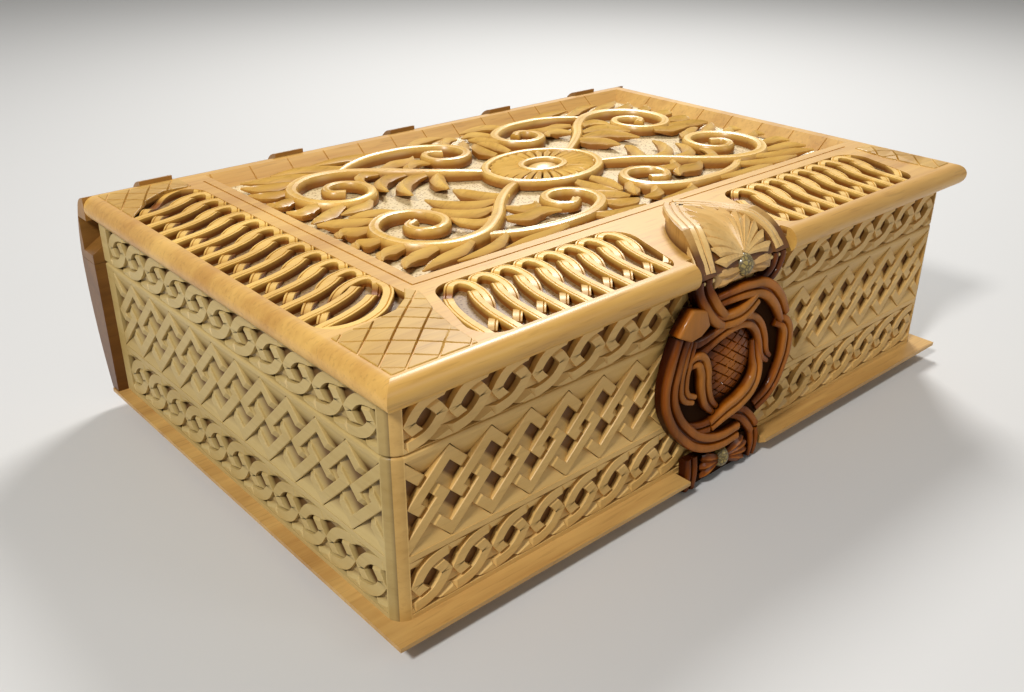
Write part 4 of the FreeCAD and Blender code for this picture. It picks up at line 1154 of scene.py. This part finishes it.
# %% Petals of the palmette
petal_root = -103.2
petal_reach = [(0, 30.5), (12, 26.5), (24, 21.5), (37, 18.0), (50, 16.4), (63, 15.4), (76, 15.0), (88, 15.4)]
petal_profile = ((0.04, -0.6, 0.22), (0.40, 0.2, 0.50), (0.78, 0.2, 0.80), (1.0, -0.5, 0.20))
petals = []
for turn, reach in petal_reach + [(-turn, reach) for turn, reach in petal_reach[1:]]:
    tip = (math.sin(math.radians(turn)) * reach, petal_root + math.cos(math.radians(turn)) * reach)
    path = straight_path((0, petal_root), tip, petal_profile, lambda y: back_height(y) + 0.8)
    petals.append(strand("petal", path, ridge_leaf, steps=3))
palmette_petals = joined(petals, "palmette_petals")
finished(palmette_petals, arch_wood, "lid")
print("petals:", len(petals))

# %% [markdown]
# On the front of the hinge lug two stepped leaves point away from the bead on each side. The same leaves
# come back in the foot, so they get a function of their own.


# %% Leaves beside the beads
leaf_profile = ((0.22, -0.6, 0.55), (0.5, 0.1, 0.95), (0.82, 0.1, 1.0), (1.0, -1.0, 0.55))


def front_leaves(name, middle, tips, out, width):
    paths = [straight_path(middle, tip, leaf_profile, lambda y: out, width) for tip in tips]
    return [strand(name, path, ridge_leaf, steps=3) for path in paths]


lug_tips = [(15.2, 87.2), (14.6, 83.4), (-15.2, 87.2), (-14.6, 83.4)]
lug_leaves = joined(front_leaves("lug_leaf", (0, 86.4), lug_tips, 6.3, 0.72), "lug_leaves")
finished(lug_leaves, arch_wood, "lid", "front")
print("leaves on the lug:", len(lug_tips))

# %% [markdown]
# ## Foot of the clasp
# Below the clasp a small carved foot stands on the edge of the base board. It repeats the palmette: stepped
# leaves on both sides of a bead, a fluted block on the left, and on the right the tail of a strap that
# comes down to the base.

# %% The foot
foot_tips = [(-13.5, 12.6), (-14.5, 8.6), (-14.0, 4.4), (11.5, 12.6), (14.0, 9.2), (14.6, 5.6), (13.4, 2.4)]
foot = front_leaves("foot_leaf", (-1, 8), foot_tips, 6.2, 0.78)
for name, path in (
        ("foot_block", [(-18.6, 14.6, 4.6, 0.8), (-18.8, 8.0, 5.4, 0.82), (-19.2, 1.0, 5.0, 0.78)]),
        ("foot_tail", [(17.6, 13.4, 5.6, 0.68), (18.9, 8.0, 5.6, 0.66), (18.6, 1.2, 5.0, 0.6)])):
    foot.append(strand(name, path, double_ridge, steps=4))
foot_carving = joined(foot, "foot_carving")
finished(foot_carving, clasp_wood, "body", "front")
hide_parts("catch_foot")
foot_plate = board("foot_plate", [
    (-20.5, 1.0), (19.6, 1.0), (19.6, 11.0), (13, 13.2), (-14, 13.2), (-20.5, 12.4)],
    range(6), steps=1, thick=3.0, front=3.0)
# Painted shadow: the plate behind the foot's leaves is nearly black.
finished(foot_plate, painted_shadow_wood, "body", "front")
print("foot pieces:", len(foot) + 1)


# %% [markdown]
# The two beads are small balls pressed oval and cut by upright slices, which gives them the edges of a
# melon bead.


# %% Two beads
def bead(name, place, half_sizes, rides, node):
    bpy.ops.object.select_all(action="DESELECT")
    bpy.ops.mesh.primitive_uv_sphere_add(segments=32, ring_count=20, radius=1)
    ball = bpy.context.object
    ball.name = name
    edit_all(ball)
    for angle in range(0, 180, 30):
        across = (math.cos(math.radians(angle)), math.sin(math.radians(angle)), 0)
        bpy.ops.mesh.select_all(action="SELECT")
        bpy.ops.mesh.bisect(plane_co=(0, 0, 0), plane_no=across)
    bpy.ops.mesh.select_all(action="SELECT")
    bpy.ops.transform.resize(value=[size * mm for size in half_sizes], center_override=(0, 0, 0))
    bpy.ops.object.mode_set(mode="OBJECT")
    bpy.ops.object.shade_smooth_by_angle(angle=math.radians(40))
    moved(ball, *place)
    finished(ball, bead_gold, rides)
    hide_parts(node)
    return ball


upper_bead = bead("upper_bead", (0, -102.9, 87.4), (4.1, 3.8, 4.4), "lid", "palmette_bead")
lower_bead = bead("lower_bead", (-0.8, -102.4, 8.0), (3.5, 3.8, 4.3), "body", "catch_bead")
print("beads:", upper_bead.name, lower_bead.name)

# %% [markdown]
# The cross sections were only drawing aids. They are taken out of the scene before the end.

# %% Put the drawing sections away
for shape in (loop_ribbon, ridge_leaf, round_stem, double_ridge, arch_ridge):
    bpy.data.objects.remove(shape)
